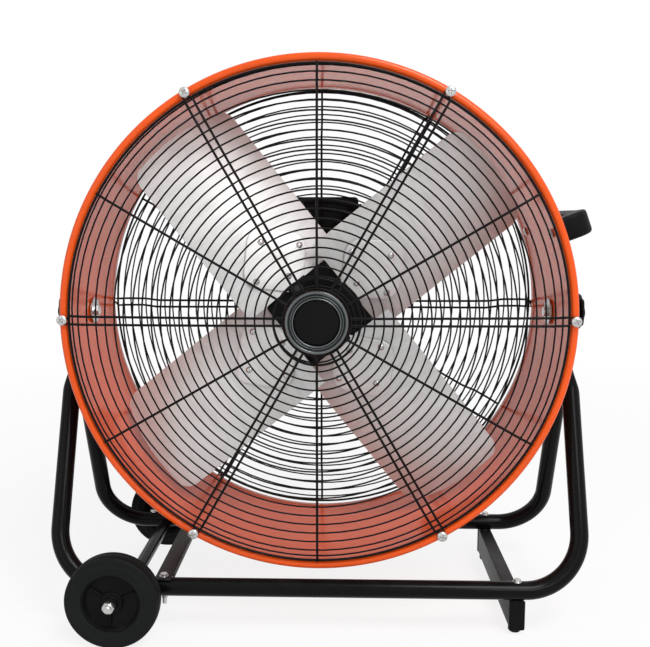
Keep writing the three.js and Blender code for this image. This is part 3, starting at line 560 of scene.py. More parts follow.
def rubber(name, slot, tone):
    """Matt rubber: a pale bloom in broad patches, which is rougher, and fine pits."""
    f = Finish(name, slot)
    bloom = f.ramp(f.noise(30.0, 5.0), 0.45, 0.8, 0.0, 0.12)
    base = f.mix(bloom, tone, (0.04, 0.042, 0.041))
    pits = f.noise(1100.0, 4.0)
    f.set(Base_Color=base, Roughness=f.math("ADD", bloom, 0.6), Normal=f.bump(pits, 0.00025, 0.6))
    f.set(Specular_IOR_Level=0.1)
    return f


def casting():
    """Painted casting: a sandy skin under satin black paint, with bare specks at the high spots."""
    f = Finish("painted_casting", "motor_casting")
    sand = f.noise(380.0, 5.0)
    bare = f.ramp(sand, 0.68, 0.74, 0.0, 0.25)
    f.set(Base_Color=f.mix(bare, (0.008, 0.008, 0.0085), (0.1, 0.1, 0.1)), Specular_IOR_Level=0.2)
    f.set(Roughness=f.ramp(f.noise(50.0, 4.0), 0.3, 0.7, 0.4, 0.6), Normal=f.bump(sand, 0.0004, 0.5))
    return f


FINISHES = {}


def make_finishes(c):
    """Every material of the fan, by a short name."""
    plastic, steel, blade, tread = (tuple(part) for part in (c.plastic, c.steel, c.blade, c.rubber))
    FINISHES["orange"] = painted("orange_coat", "orange_paint", tuple(c.drum), rough=0.18, level=0.28)
    FINISHES["black"] = painted("black_coat", "black_paint", steel, rough=0.15, level=0.08)
    FINISHES["satin"] = painted("satin_coat", "black_paint", toned(steel, 2.0), rough=0.50, level=0.3)
    FINISHES["wire"] = wire_coat(tuple(c.wire))
    FINISHES["blade"] = sheet_aluminium("rolled_aluminium", blade)
    FINISHES["pad"] = sheet_aluminium("pressed_pad", toned(blade, 1.08))
    FINISHES["zinc"] = zinc_plate(tuple(c.zinc))
    FINISHES["plastic"] = moulded("black_moulding", "black_plastic", plastic, rough=0.5)
    FINISHES["badge"] = moulded(
        "grey_moulding", "badge_grey", tuple(c.ring),
        rough=0.24, grain=0.00003, scale=900.0, metal=1.0, level=0.5,
    )
    FINISHES["gloss"] = moulded(
        "gloss_moulding", "black_plastic", plastic, rough=0.22, grain=0.00002, scale=300.0,
    )
    FINISHES["rim"] = moulded("wheel_moulding", "rim_plastic", plastic, rough=0.45)
    FINISHES["tyre"] = rubber("tyre_rubber", "tyre_rubber", tread)
    FINISHES["foot"] = rubber("foot_rubber", "foot_rubber", tread)
    FINISHES["motor"] = casting()


# ---- small parts -------------------------------------------------------------------------------
def washer(surface, place, inner, outer, low, high, steps=40):
    """A flat ring along the place's y axis, with softened rims."""
    soft = (high - low) * 0.2
    profile = [
        (inner, low + soft), (inner + soft, low), (outer - soft, low), (outer, low + soft),
        (outer, high - soft), (outer - soft, high), (inner + soft, high), (inner, high - soft),
    ]
    return surface.add(revolve(profile, steps), place, loop=True)


def hex_head(surface, place, across, low, high):
    """A hexagon along y with chamfered corners: near each face the outline is cut to a smaller circle."""
    outline = regular(6, across, 8)
    t = np.array([0.0, 0.0, 0.12, 0.88, 1.0, 1.0])
    limit = across * np.array([0.86, 0.90, 1.0, 1.0, 0.90, 0.86])
    reach = np.linalg.norm(outline, axis=1)
    rings = outline[None] * np.minimum(1, limit[:, None] / reach[None])[..., None]
    y = np.broadcast_to((low + (high - low) * t)[:, None], rings.shape[:2])
    return surface.add(np.stack([rings[..., 0], y, rings[..., 1]], -1), place)


def pan_head(surface, place, radius, height, shank, reach):
    """A cross-slotted pan head over y = 0 with its shank below. The dome falls from the
    head's height by 0.55 times (r / R)^4 of it; the cross sinks it within its half width of either plane."""
    r = np.concatenate([np.linspace(0.02, 0.68, 18), np.linspace(0.74, 1.0, 8)]) * radius
    t = turns(72)
    x, z = r[:, None] * np.cos(t), r[:, None] * np.sin(t)
    dome = height * (0.45 + 0.55 * (1 - (r / radius) ** 4))[:, None] + 0 * x
    narrow = np.minimum(np.abs(x), np.abs(z))
    long = np.maximum(np.abs(x), np.abs(z))
    open_width = np.clip((0.13 * radius - narrow) / (0.05 * radius), 0, 1)
    open_length = np.clip((0.58 * radius - long) / (0.08 * radius), 0, 1)
    y = dome - 0.55 * height * open_width * open_length
    top = np.stack([x, y, z], -1)
    rim = revolve([(radius, 0.1 * height), (0.97 * radius, 0.0), (shank, 0.0), (shank, -reach)], 72)
    centre_y = 0.45 * height
    return surface.add(np.concatenate([top, rim]), place, ends=((0, centre_y, 0), (0, -reach, 0)))


def bolt(surface, place, across, head, shank, reach):
    """A flanged hexagon bolt: washer face on y = 0, head above, shank with a blunt point below."""
    washer(surface, place, shank * 0.98, across * 1.22, 0.0, head * 0.22)
    hex_head(surface, place, across, head * 0.2, head)
    profile = [(shank * 0.7, -reach), (shank, -reach + shank * 0.4), (shank, head * 0.3)]
    return surface.add(revolve(profile, 32), place)


# ---- drum --------------------------------------------------------------------------------------
def drum_profile(s):
    """Closed section of the drum in (r, y): wall, round bead at each end, wall; the beads are circles."""
    bead_r, bead_y = RIM_R - s.bead, DEPTH - s.bead
    t = np.radians(np.linspace(-148, 158, 30))
    front = np.stack([bead_r + s.bead * np.cos(t), -bead_y + s.bead * np.sin(-t)], -1)[::-1]
    rear = front[::-1] * [1, -1]
    run = np.linspace(-1, 1, 9)[:, None] * (bead_y - 2 * s.bead)
    inner = np.concatenate([np.full_like(run, s.bore), run], 1)[::-1]
    outer = np.concatenate([np.full_like(run, s.bore + s.wall), run], 1)
    return np.concatenate([outer, rear, inner, front])


def build_drum(s):
    """The drum's wall and beads, revolved about the axis, with its lap seam underneath: a strip whose edges
    slope up from the wall."""
    surface = Surface()
    surface.add(revolve(drum_profile(s), s.steps), (AXIS, SQUARE), loop=True)
    half = s.seam_half
    t = np.radians(-90) + np.linspace(-half, half, 12)
    lift = s.seam * np.clip((half - np.abs(t + np.pi / 2)) / (half * 0.2), 0, 1)
    y = np.array([-1, -0.999, 0.999, 1])[:, None] * (DEPTH - 3 * s.bead)
    raised = np.array([0, 1, 1, 0])[:, None]
    r = s.bore + s.wall - 0.0004 + raised * lift
    top = np.stack([r * np.cos(t), y + 0 * r, r * np.sin(t)], -1)
    below = top[:, ::-1] * [0.9985, 1, 0.9985]
    surface.add(np.concatenate([top, below], 1), (AXIS, SQUARE))
    return put(surface, "drum_wall", "orange", "drum", ["drum_shell"])


# ---- guards ------------------------------------------------------------------------------------
# The spiral's pitch on the shoulder, over its pitch on the face, and its stations in one turn.
SHOULDER_PITCH = 0.7
SPIRAL_STEPS = 84


def guard_line(front, s):
    """Corners (radius, distance from the drum's middle) of a guard's spokes, from the hub to the screws."""
    seat = DEPTH + s.spoke
    if front:
        face = abs(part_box("front_guard")[0][1]) - s.spoke
        r = np.linspace(s.hub_ring, s.face, 8)
        domed = [(radius, face - s.dome * (radius / s.face) ** 2) for radius in r]
        return [*domed, (0.3135, seat), (s.screw_circle, seat)]
    low = abs(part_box("rear_guard")[0][1]) + s.spoke
    step = 0.121
    dish = [(0.072, low), (0.250, low), (0.276, step), (0.303, step)]
    return [*dish, (0.3145, seat), (s.screw_circle, seat)]


def line_depth(line, radius):
    """Distance from the drum's middle at any radius, between the line's corners."""
    r, d = np.array(line).T
    return np.interp(radius, r, d)


def spiral_path(line, side, s):
    """Centre line of the spiral, in the guard's own frame, with +Y outwards. The radius grows by one pitch a
    turn up to the shoulder and by a smaller one on it, and the height follows the spokes' line, outside the
    spokes where side is 1 and inside them where it is -1. The last quarter turn comes down on the rim."""
    first = line[0][0] + s.first - s.hub_ring
    even = (s.shoulder - first) / s.pitch
    edge = (s.edge - s.shoulder) / (s.pitch * SHOULDER_PITCH)
    turn = np.linspace(0, even + edge, int((even + edge) * SPIRAL_STEPS))
    radius = np.interp(turn, [0, even, even + edge], [first, s.shoulder, s.edge])
    height = line_depth(line, radius) + side * (s.spoke + s.spiral)
    last = np.clip((turn - turn[-1] + 0.25) / 0.25, 0, 1)
    height = height * (1 - last) + (DEPTH + s.spiral) * last
    t = 2 * np.pi * turn - s.start
    return np.stack([radius * np.cos(t), height, radius * np.sin(t)], -1)


def ring_rings(radius, height, wire, steps=180, around=12):
    """A torus about Y: a circle of wire carried round at the radius and height."""
    section = circle(wire, around)
    profile = section + [radius, height]
    return revolve(profile, steps)


def hairpin_path(line, s):
    """A wire that runs out along +X, round a screw and back beside itself, narrowing to the hub."""
    r, d = np.array(line[:-1]).T
    half = np.interp(r, [0, s.screw_circle], [s.pair_half * 0.84, s.pair_half])
    out = np.stack([r, d, -half], -1)
    t = np.linspace(-np.pi / 2, np.pi / 2, 17)
    seat = line[-1][1]
    turn_x = s.screw_circle + s.pair_half * np.cos(t)
    loop = np.stack([turn_x, np.full_like(t, seat), s.pair_half * np.sin(t)], -1)
    outward = fillet(np.concatenate([out, loop[:1]]), 0.006, 5)
    back = outward[::-1] * [1, 1, -1]
    return np.concatenate([outward[:-1], loop, back[1:]])


def spoke_path(line, s):
    """A single wire out along +X, from the hub ring to the edge ring."""
    points = [(r, d, 0.0) for r, d in line[:-1]]
    points[-1] = (s.edge + s.spoke, points[-1][1], 0.0)
    return fillet(np.array(points), 0.006, 5)


def build_guard(front, s):
    """One whole guard: rings, spiral, six pairs and six single spokes between them."""
    line = guard_line(front, s)
    flip = -1 if front else 1
    surface = Surface()
    base = (AXIS, np.diag([1, flip, flip]))
    surface.add(sweep(spiral_path(line, flip, s), circle(s.spiral, 8), Y), base)
    hub, face = line[0]
    for radius, height in ((s.edge, DEPTH + s.spiral), (hub, face), (hub + s.hub_gap, face - 2 * s.spoke)):
        surface.add(ring_rings(radius, height, s.spoke), base, loop=True)
    pair = sweep(resample(hairpin_path(line, s), 0.03), circle(s.spoke, 10), Y)
    single = sweep(resample(spoke_path(line, s), 0.03), circle(s.spoke, 10), Y)
    for k in range(PAIRS):
        for rings, degrees in ((pair, 60 * k), (single, 60 * k + 30)):
            surface.add(rings, (AXIS, axes_of(polar(1, degrees), flip * Y)))
    name = "front_guard" if front else "rear_guard"
    return put(surface, name + "_wires", "wire", "drum", [name], 60)


def build_guard_screws(s):
    """Cross-slotted screws that hold the wire loops to the rim: six in front, three behind."""
    for name, flip, degrees in (("front", -1, range(0, 360, 60)), ("rear", 1, range(0, 360, 120))):
        for number, turn in enumerate(degrees, 1):
            node = f"{name}_guard_screw_{number}"
            origin = AXIS + polar(s.screw_circle, turn) + flip * Y * (DEPTH + 2 * s.spoke + 0.0002)
            axes = axes_of(polar(1, turn * 2.6 + 20), flip * Y)
            surface = pan_head(
                Surface(), (origin, axes), radius=0.0065, height=0.0036, shank=0.0024, reach=0.003,
            )
            put(surface, f"screw_{name}_{number}", "zinc", "drum", [node])


def build_badge():
    """The badge: a grey ring with two crests and a groove between them, round a plain black disc."""
    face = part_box("guard_badge_ring")[1][1]
    place = (on_axis(face), FORWARD)
    foot = [(0.0280, 0.0), (0.0408, 0.0)]
    outer_crest = [(0.0408, 0.0024), (0.0390, 0.0050), (0.0366, 0.0054)]
    groove = [(0.0346, 0.0030), (0.0330, 0.0016), (0.0318, 0.0030)]
    inner_crest = [(0.0306, 0.0056), (0.0294, 0.0056), (0.0285, 0.0030), (0.0280, 0.0)]
    profile = smooth_profile([*foot, *outer_crest, *groove, *inner_crest], 0.0010, 5)
    ring = Surface().add(revolve(profile[:-1], 128), place, loop=True)
    put(ring, "badge_ring", "badge", "drum", ["guard_badge_ring"])
    radius, low, high = 0.0278, 0.0003, 0.0030
    profile = smooth_profile(
        [(0.002, low), (radius, low), (radius, high), (radius - 0.0008, high + 0.0004),
         (0.002, high + 0.0007)],
        0.0004, 3,
    )
    disc = Surface().add(revolve(profile, 96), place)
    put(disc, "badge_disc", "gloss", "drum", ["guard_badge_disc"])


# ---- blades ------------------------------------------------------------------------------------
def blade_place(number, s):
    """Origin and axes of a blade: x along it, y through the sheet (backwards), z across it. The blade leans
    by the pitch, so that the side at +z comes forward."""
    degrees = math.degrees(s.first) + 360 * number / BLADES
    along = polar(1, degrees)
    flat_across = polar(1, degrees + 90)
    across = math.cos(s.pitch) * flat_across - math.sin(s.pitch) * Y
    through = math.cos(s.pitch) * Y + math.sin(s.pitch) * flat_across
    return on_axis(centre("blade_1")[1]), np.stack([along, through, across])


def camber(across, half, s):
    """Rise of the sheet at a distance across it: a parabola that is level on average."""
    return s.camber * ((across / half) ** 2 - 1 / 3)


def blade_rings(s):
    """Closed sections of a blade at stations across it: each runs out along the front face and back along
    the rear one. The outer end is the tip circle, or the corner's arc where that is shorter."""
    half = s.half_width / math.cos(s.pitch)
    v = -half * np.cos(np.linspace(0, np.pi, 61))
    seen = v * math.cos(s.pitch)
    corner_v = s.half_width - s.corner
    corner_u = math.sqrt(s.tip**2 - s.half_width**2) - s.corner * 0.72
    over = np.clip(np.abs(seen) - corner_v, 0, s.corner * 0.9995)
    arc = corner_u + np.sqrt(s.corner**2 - over**2)
    tip = np.minimum(np.sqrt(s.tip**2 - seen**2), np.where(over > 0, arc, 1.0))
    share = np.linspace(0, 1, 40)
    u = s.base + (tip[:, None] - s.base) * share[None]
    rise = camber(v, half, s)[:, None] + 0 * u
    lengthwise = v[:, None] + 0 * u
    edge = s.thick / 2
    front = np.stack([u, rise - edge, lengthwise], -1)
    back = np.stack([u, rise + edge, lengthwise], -1)[:, ::-1]
    return np.concatenate([front, back], 1)


def build_blades(s):
    """The four paddles."""
    rings = blade_rings(s)
    for k in range(BLADES):
        surface = Surface().add(rings, blade_place(k, s))
        put(surface, f"paddle_{k + 1}", "blade", "rotor", [f"blade_{k + 1}"], 40)


def build_pads(s):
    """A silver pad with four rivets in front of each blade, its corner towards the hub."""
    turn = math.radians(45)
    outline = rounded_box(s.pad_half, s.pad_half, s.pad_half * 0.5, 9)
    outline = outline @ np.array([[math.cos(turn), math.sin(turn)], [-math.sin(turn), math.cos(turn)]])
    lift = s.thick / 2 + s.camber / 3
    pads, rivets = Surface(), Surface()
    spots = ((0.0310, 0.0), (-0.0045, -0.0395), (-0.0280, 0.0), (-0.0065, 0.0395))
    dome = [(0.0046, -0.001), (0.0046, 0.0006), (0.0040, 0.0018), (0.0028, 0.0026), (0.0012, 0.0030)]
    plate = slab(outline, -lift - s.pad_thick, -lift, 0.0014, 4)
    for k in range(BLADES):
        origin, axes = blade_place(k, s)
        middle = origin + axes[2] * s.pad_ahead + axes[0] * s.pad_circle
        pads.add(plate, (middle, axes))
        for u, v in spots:
            head = middle + axes[0] * u + axes[2] * v - axes[1] * (lift + s.pad_thick)
            rivets.add(revolve(dome, 28), (head, FORWARD @ axes), ends=((0, -0.001, 0), (0, 0.00305, 0)))
    put(pads, "blade_pads", "pad", "rotor", ["blade_spider"])
    put(rivets, "blade_rivets", "zinc", "rotor")


def build_hub(s):
    """The black hub plate between the pads, its collar, necks to the pads, and the shaft."""
    degrees = math.degrees(s.first)
    along, across = polar(1, degrees), polar(1, degrees + 90)
    middle = on_axis(centre("blade_1")[1] - 0.006)
    surface = Surface()
    plate = slab(rounded_box(s.plate_half, s.plate_half, 0.006, 6), 0.0, 0.0035, 0.0009, 3)
    surface.add(plate, (middle, np.stack([along, Y, across])))
    for k in range(BLADES):
        origin, axes = blade_place(k, s)
        lift = s.thick / 2 + s.camber / 3
        neck = slab(rounded_box(0.018, 0.016, 0.003, 4), -lift - 0.0042, -lift - 0.0006, 0.0008, 3)
        surface.add(neck, (origin + axes[0] * 0.036, axes))
    collar = smooth_profile(
        [(0.0085, -0.011), (0.021, -0.011), (0.021, 0.0), (0.025, 0.004), (0.025, 0.042), (0.0085, 0.042)],
        0.0015, 4,
    )
    surface.add(revolve(collar, 64), (middle, SQUARE), loop=True)
    put(surface, "hub_plate", "black", "rotor")
    shaft = Surface()
    low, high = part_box("motor_shaft")
    profile = [(0.006, low[1]), (0.008, low[1] + 0.002), (0.008, high[1])]
    shaft.add(revolve(profile, 40), (on_axis(0), SQUARE))
    put(shaft, "drive_shaft", "zinc", "rotor", ["motor_shaft"])


# ---- motor and control box ---------------------------------------------------------------------
def bell_vents(r, y, t):
    """Ripple of the end bell: twelve spokes between its boss and its rim."""
    spoke = np.clip(np.cos(12 * t) * 4, -1, 1)
    window = np.clip((r - 0.030) / 0.004, 0, 1) * np.clip((0.058 - r) / 0.004, 0, 1)
    return 0.0012 * spoke * window


def build_motor():
    """The motor: a ribbed shell, an end bell with a boss and four through bolts, and its mount plate."""
    low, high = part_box("motor_shell")
    radius = half_size("motor_shell")[0]
    base = (on_axis(0), SQUARE)
    span = high[1] - low[1]
    y = np.linspace(0.07, 0.93, 60)
    ribs = radius - 0.0030 + 0.0026 * np.clip(np.cos((y - 0.07) / 0.86 * np.pi * 24) * 3, -1, 1)
    wall = np.stack([ribs, low[1] + span * y], -1)
    ends = np.array([(0.004, low[1]), (radius - 0.008, low[1]), (radius - 0.003, low[1] + 0.003)])
    back = np.array([(radius - 0.003, high[1] - 0.003), (radius - 0.008, high[1]), (0.004, high[1])])
    shell = Surface().add(revolve(np.concatenate([ends, wall, back]), 96), base)
    put(shell, "motor_body", "motor", "drum", ["motor_shell"])
    low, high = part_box("motor_end_bell")
    depth = high[1] - low[1]
    shoulder = high[1] - 0.62 * depth
    rim = [(0.0084, high[1]), (0.072, high[1]), (0.070, high[1] - 0.4 * depth), (0.060, shoulder)]
    boss = [(0.026, high[1] - 0.72 * depth), (0.024, low[1]), (0.0084, low[1])]
    bell = smooth_profile([*rim, *boss], 0.003, 5)
    cover = Surface().add(revolve(bell, 144, bell_vents), base, loop=True)
    for k in range(4):
        place = (on_axis(shoulder) + polar(0.064, 45 + 90 * k), FORWARD)
        bolt(cover, place, across=0.0042, head=0.004, shank=0.002, reach=0.004)
    put(cover, "motor_bell", "motor", "drum", ["motor_end_bell"])
    low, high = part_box("motor_mount_plate")
    plate = Surface()
    flange = [(0.004, low[1]), (0.084, low[1]), (0.084, high[1]), (0.060, high[1])]
    disc = smooth_profile([*flange, (0.056, high[1] + 0.002), (0.004, high[1] + 0.002)], 0.0008, 4)
    plate.add(revolve(disc, 96), base)
    put(plate, "motor_plate", "black", "drum", ["motor_mount_plate"])
    bolts = Surface()
    for k in range(4):
        place = (on_axis(high[1]) + polar(0.070, 45 + 90 * k), SQUARE)
        bolt(bolts, place, across=0.0060, head=0.0055, shank=0.003, reach=0.004)
    put(bolts, "motor_plate_bolts", "zinc", "drum")


def upright(node):
    """Origin at the middle of a node's box, and axes along the frame's own."""
    return centre(node), SQUARE


def gland_teeth(r, y, t):
    """Ripple of the gland's nut: sixteen shallow cuts round its outside."""
    return -0.0004 * (np.cos(16 * t) > 0) * (r > 0.0055)


def knob_flutes(r, y, t):
    """Ripple of the speed knob: thirty fine flutes round its skirt."""
    return 0.0003 * np.cos(30 * t) * (r > 0.014)


def build_box():
    """Control box, its cover with corner screws, a dial plate with its ticks and the cord gland."""
    half = half_size("control_box")
    outline = rounded_box(half[0], half[2], 0.006, 8)
    body = Surface().add(slab(outline, -half[1], half[1], 0.002, 4), upright("control_box"))
    put(body, "switch_box", "black", "drum", ["control_box"])
    cover_half = half_size("control_box_cover")
    lid = slab(outline, -cover_half[1], cover_half[1], 0.001, 3)
    cover = Surface().add(lid, upright("control_box_cover"))
    put(cover, "switch_box_cover", "black", "drum", ["control_box_cover"])
    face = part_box("control_box_cover")[1][1]
    screws = Surface()
    inset = 0.009
    for x in (-1, 1):
        for z in (-1, 1):
            spot = at_depth("control_box", face) + X * x * (half[0] - inset) + Z * z * (half[2] - inset)
            pan_head(screws, (spot, SQUARE), radius=0.0038, height=0.0022, shank=0.0018, reach=0.002)
    put(screws, "switch_box_screws", "zinc", "drum")
    middle = at_depth("speed_knob", face)
    disc = [(0.003, 0.0), (0.0235, 0.0), (0.0240, 0.0003), (0.0235, 0.0006), (0.003, 0.0006)]
    dial = Surface().add(revolve(disc, 72), (middle, SQUARE))
    put(dial, "dial_plate", "badge", "drum")
    ticks = Surface()
    for degrees in (0, 60, 120):
        out = polar(1, -degrees)
        tick = slab(rounded_box(0.0017, 0.0006, 0.0004, 3), 0.0, 0.0009, 0.0001, 2)
        ticks.add(tick, (middle + out * 0.0208, axes_of(out, Y)))
    put(ticks, "dial_ticks", "gloss", "drum")
    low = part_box("cord_gland")[0]
    gland = Surface()
    place = (np.array([low[0], *centre("cord_gland")[1:]]), np.stack([Y, X, Z]))
    hex_head(gland, place, across=0.0092, low=0.0, high=0.0042)
    collar = [(0.0042, 0.0035), (0.0075, 0.0035), (0.0075, 0.0052), (0.0066, 0.0058)]
    nut = smooth_profile([*collar, (0.0060, 0.0098), (0.0042, 0.0098)], 0.0006, 3)
    gland.add(revolve(nut, 48, gland_teeth), place, loop=True)
    put(gland, "gland", "plastic", "drum", ["cord_gland"])


def build_speed_knob():
    """The speed knob: a skirted disc with fine flutes, a bar grip across it and a pale pointer line."""
    low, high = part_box("speed_knob")
    place = (at_depth("speed_knob", low[1]), SQUARE)
    depth = high[1] - low[1]
    skirt = smooth_profile(
        [(0.002, 0.0), (0.017, 0.0), (0.0168, 0.002), (0.0155, 0.007), (0.002, 0.0078)], 0.0012, 4,
    )
    knob = Surface()
    knob.add(revolve(skirt, 120, knob_flutes), place)
    knob.add(slab(rounded_box(0.0152, 0.0036, 0.0034, 8), 0.004, depth, 0.0014, 4), place)
    put(knob, "speed_knob_body", "plastic", "speed_knob", ["speed_knob"])
    line = slab(rounded_box(0.005, 0.0007, 0.0006, 4), 0.0, 0.0004, 0.0001, 2)
    pointer = Surface().add(line, (place[0] + Y * depth + X * 0.0088, SQUARE))
    put(pointer, "speed_knob_pointer", "zinc", "speed_knob")


# ---- handle and pivots -------------------------------------------------------------------------
def handle_axes():
    """Direction out through the handle's middle, with X out and Z round the drum."""
    middle = centre("handle") - AXIS
    out = unit(middle * [1, 0, 1])
    return axes_of(out, Y)


def build_handle(bore):
    """The carrying handle: a rounded bar that goes up, along and down, and is thinner in its grip."""
    axes = handle_axes()
    reach = half_size("handle")[1] - 0.003
    foot = bore + 0.0026
    top = 0.368
    leg_y, grip_half = reach - 0.015, 0.0095
    grip = top - grip_half
    corners = [(foot, -leg_y, 0), (grip, -leg_y, 0), (grip, leg_y, 0), (foot, leg_y, 0)]
    path = resample(fillet(corners, 0.012, 10), 0.006)
    run = run_along(path)
    from_end = np.minimum(run, run[-1] - run)
    thick = np.interp(from_end, [0, 0.024, 0.062], [0.0152, 0.0150, grip_half])
    width = np.interp(from_end, [0, 0.004, 0.03, 0.06], [0.0160, 0.0155, 0.0155, 0.0150])
    base = rounded_box(1.0, 1.0, 0.30, 6)
    section = np.stack([base[None, :, 0] * thick[:, None], base[None, :, 1] * width[:, None]], -1)
    handle = Surface().add(sweep(path, section, Z), (AXIS, axes))
    put(handle, "carry_handle", "plastic", "drum", ["handle"], 50)
    for end, _ in ENDS:
        node = "handle_screw_" + end
        spot = AXIS + axes[0] * (bore - 0.0005) + Y * (centre(node)[1])
        inward = axes_of(axes[2], -axes[0])
        screw = pan_head(Surface(), (spot, inward), radius=0.0058, height=0.0030, shank=0.0025, reach=0.012)
        put(screw, "handle_fixing_" + end, "zinc", "drum", [node])


def build_pivots(bore):
    """At each side: a bolt head on a washer inside the drum, and a spacer outside it."""
    for end, sign in SIDES:
        out = sign * X
        axes = axes_of(Y, out)
        inward = axes_of(Y, -out)
        wall = AXIS + out * (bore - 0.0012)
        disc = washer(Surface(), (wall, inward), inner=0.0045, outer=0.018, low=0.0, high=0.0028, steps=64)
        put(disc, "pivot_disc_" + end, "zinc", "drum", ["pivot_washer_" + end])
        head = Surface()
        hex_head(head, (wall, inward), across=0.0075, low=0.0028, high=0.0080)
        low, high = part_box("pivot_bolt_" + end)
        tip = abs(high[0] if sign > 0 else low[0])
        head.add(revolve([(0.004, -0.001), (0.004, tip - bore)], 32), (AXIS + out * bore, axes))
        put(head, "pivot_fixing_" + end, "zinc", "drum", ["pivot_bolt_" + end])
        low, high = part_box("pivot_spacer_" + end)
        inner, outer = sorted((abs(low[0]), abs(high[0])))
        flare = [(0.0045, inner - 0.001), (0.016, inner - 0.001), (0.0145, inner + 0.004)]
        spacer = smooth_profile([*flare, (0.0145, outer), (0.0045, outer)], 0.001, 4)
        made = Surface().add(revolve(spacer, 64), (AXIS * [0, 0, 1], axes), loop=True)
        put(made, "pivot_sleeve_" + end, "plastic", "drum", ["pivot_spacer_" + end])


def knob_lobes(r, y, t):
    """Ripple of the tilt knobs: a cosine of eight times the angle that fades out towards the middle."""
    return 0.0014 * np.cos(8 * t) * np.clip((r - 0.016) / 0.006, 0, 1)


def build_tilt_knobs():
    """The lobed clamping knobs outside the arms."""
    for end, sign in SIDES:
        node = "tilt_knob_" + end
        out = sign * X
        axes = axes_of(Y, out)
        low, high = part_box(node)
        inner, outer = sorted((abs(low[0]), abs(high[0])))
        neck = [(0.0045, inner), (0.0140, inner), (0.0145, inner + 0.0065)]
        grip = [(0.0232, inner + 0.0085), (0.0240, outer - 0.004), (0.0215, outer)]
        cap = [(0.0100, outer), (0.0092, outer - 0.0012), (0.001, outer - 0.0008)]
        profile = smooth_profile([*neck, *grip, *cap], 0.0016, 5)
        knob = Surface().add(revolve(profile, 128, knob_lobes), (AXIS * [0, 0, 1], axes))
        put(knob, "clamp_knob_" + end, "plastic", node, [node], 40)


# ---- stand -------------------------------------------------------------------------------------
def rail_place(side, s):
    """Distance of a loop's rail from the pivots along Y, and its height, at the middle of the tube."""
    low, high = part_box(LOOPS[side])
    return abs(low[1] if side < 0 else high[1]) - s.tube, low[2] + s.tube


def plane_normal(side, s):
    """Direction square to a loop's leaning plane, pointing backwards."""
    rail_y, rail_z = rail_place(side, s)
    return unit(np.array([0, s.knee - rail_z, side * rail_y]))


def loop_path(side, s):
    """Middle line of a loop, from its left end down the arm, round the corners, along the rail and up."""
    arm_x = half_size(LOOPS[side])[0] - s.tube
    rail_y, rail_z = rail_place(side, s)
    top = AXIS[2] + s.tab
    corners = [
        (-arm_x, 0, top), (-arm_x, 0, s.knee), (-arm_x, side * rail_y, rail_z),
        (arm_x, side * rail_y, rail_z), (arm_x, 0, s.knee), (arm_x, 0, top),
    ]
    bend = s.front_bend if side < 0 else s.rear_bend
    return resample(fillet(np.array(corners), [0.02, bend, bend, 0.02], 24), 0.004)


def build_loop(side, s):
    """One loop of tube. Near each end the round section is pressed: its thickness across X falls to a strap
    and its width grows, then rounds off about the pivot."""
    path = loop_path(side, s)
    z = path[:, 2]
    pressed = np.clip((z - s.press_low) / (s.press_high - s.press_low), 0, 1)
    pressed = pressed * pressed * (3 - 2 * pressed)
    strap = 0.0020
    t = turns(40)
    thin = s.tube + (strap - s.tube) * pressed
    wide = s.tube + (s.tab - s.tube) * pressed
    above = np.clip((z - AXIS[2]) / s.tab, 0, 0.9995)
    wide = wide * np.sqrt(1 - above**2)
    power = 1 - 0.65 * pressed
    cos, sin = np.cos(t)[None], np.sin(t)[None]
    flat_sin = np.sign(sin) * np.abs(sin) ** power[:, None]
    flat_cos = np.sign(cos) * np.abs(cos) ** power[:, None]
    shift = side * np.sign(path[:, 0]) * pressed * (strap + 0.00015)
    along = unit(np.gradient(path, axis=0))
    plane = plane_normal(side, s)
    sideways = unit(np.cross(along, plane))
    rings = path[:, None, :] + (flat_cos * thin[:, None])[..., None] * sideways[:, None, :]
    normal = np.broadcast_to(plane, along.shape)
    upright_part = np.clip((z - s.knee + 0.02) / 0.04, 0, 1)[:, None]
    normal = unit(normal * (1 - upright_part) + Y * upright_part)
    rings = rings + (flat_sin * wide[:, None])[..., None] * normal[:, None, :]
    rings[..., 0] += shift[:, None]
    surface = Surface().add(rings)
    node = LOOPS[side]
    return put(surface, node.replace("_loop", ""), "black", "stand", [node], 50)


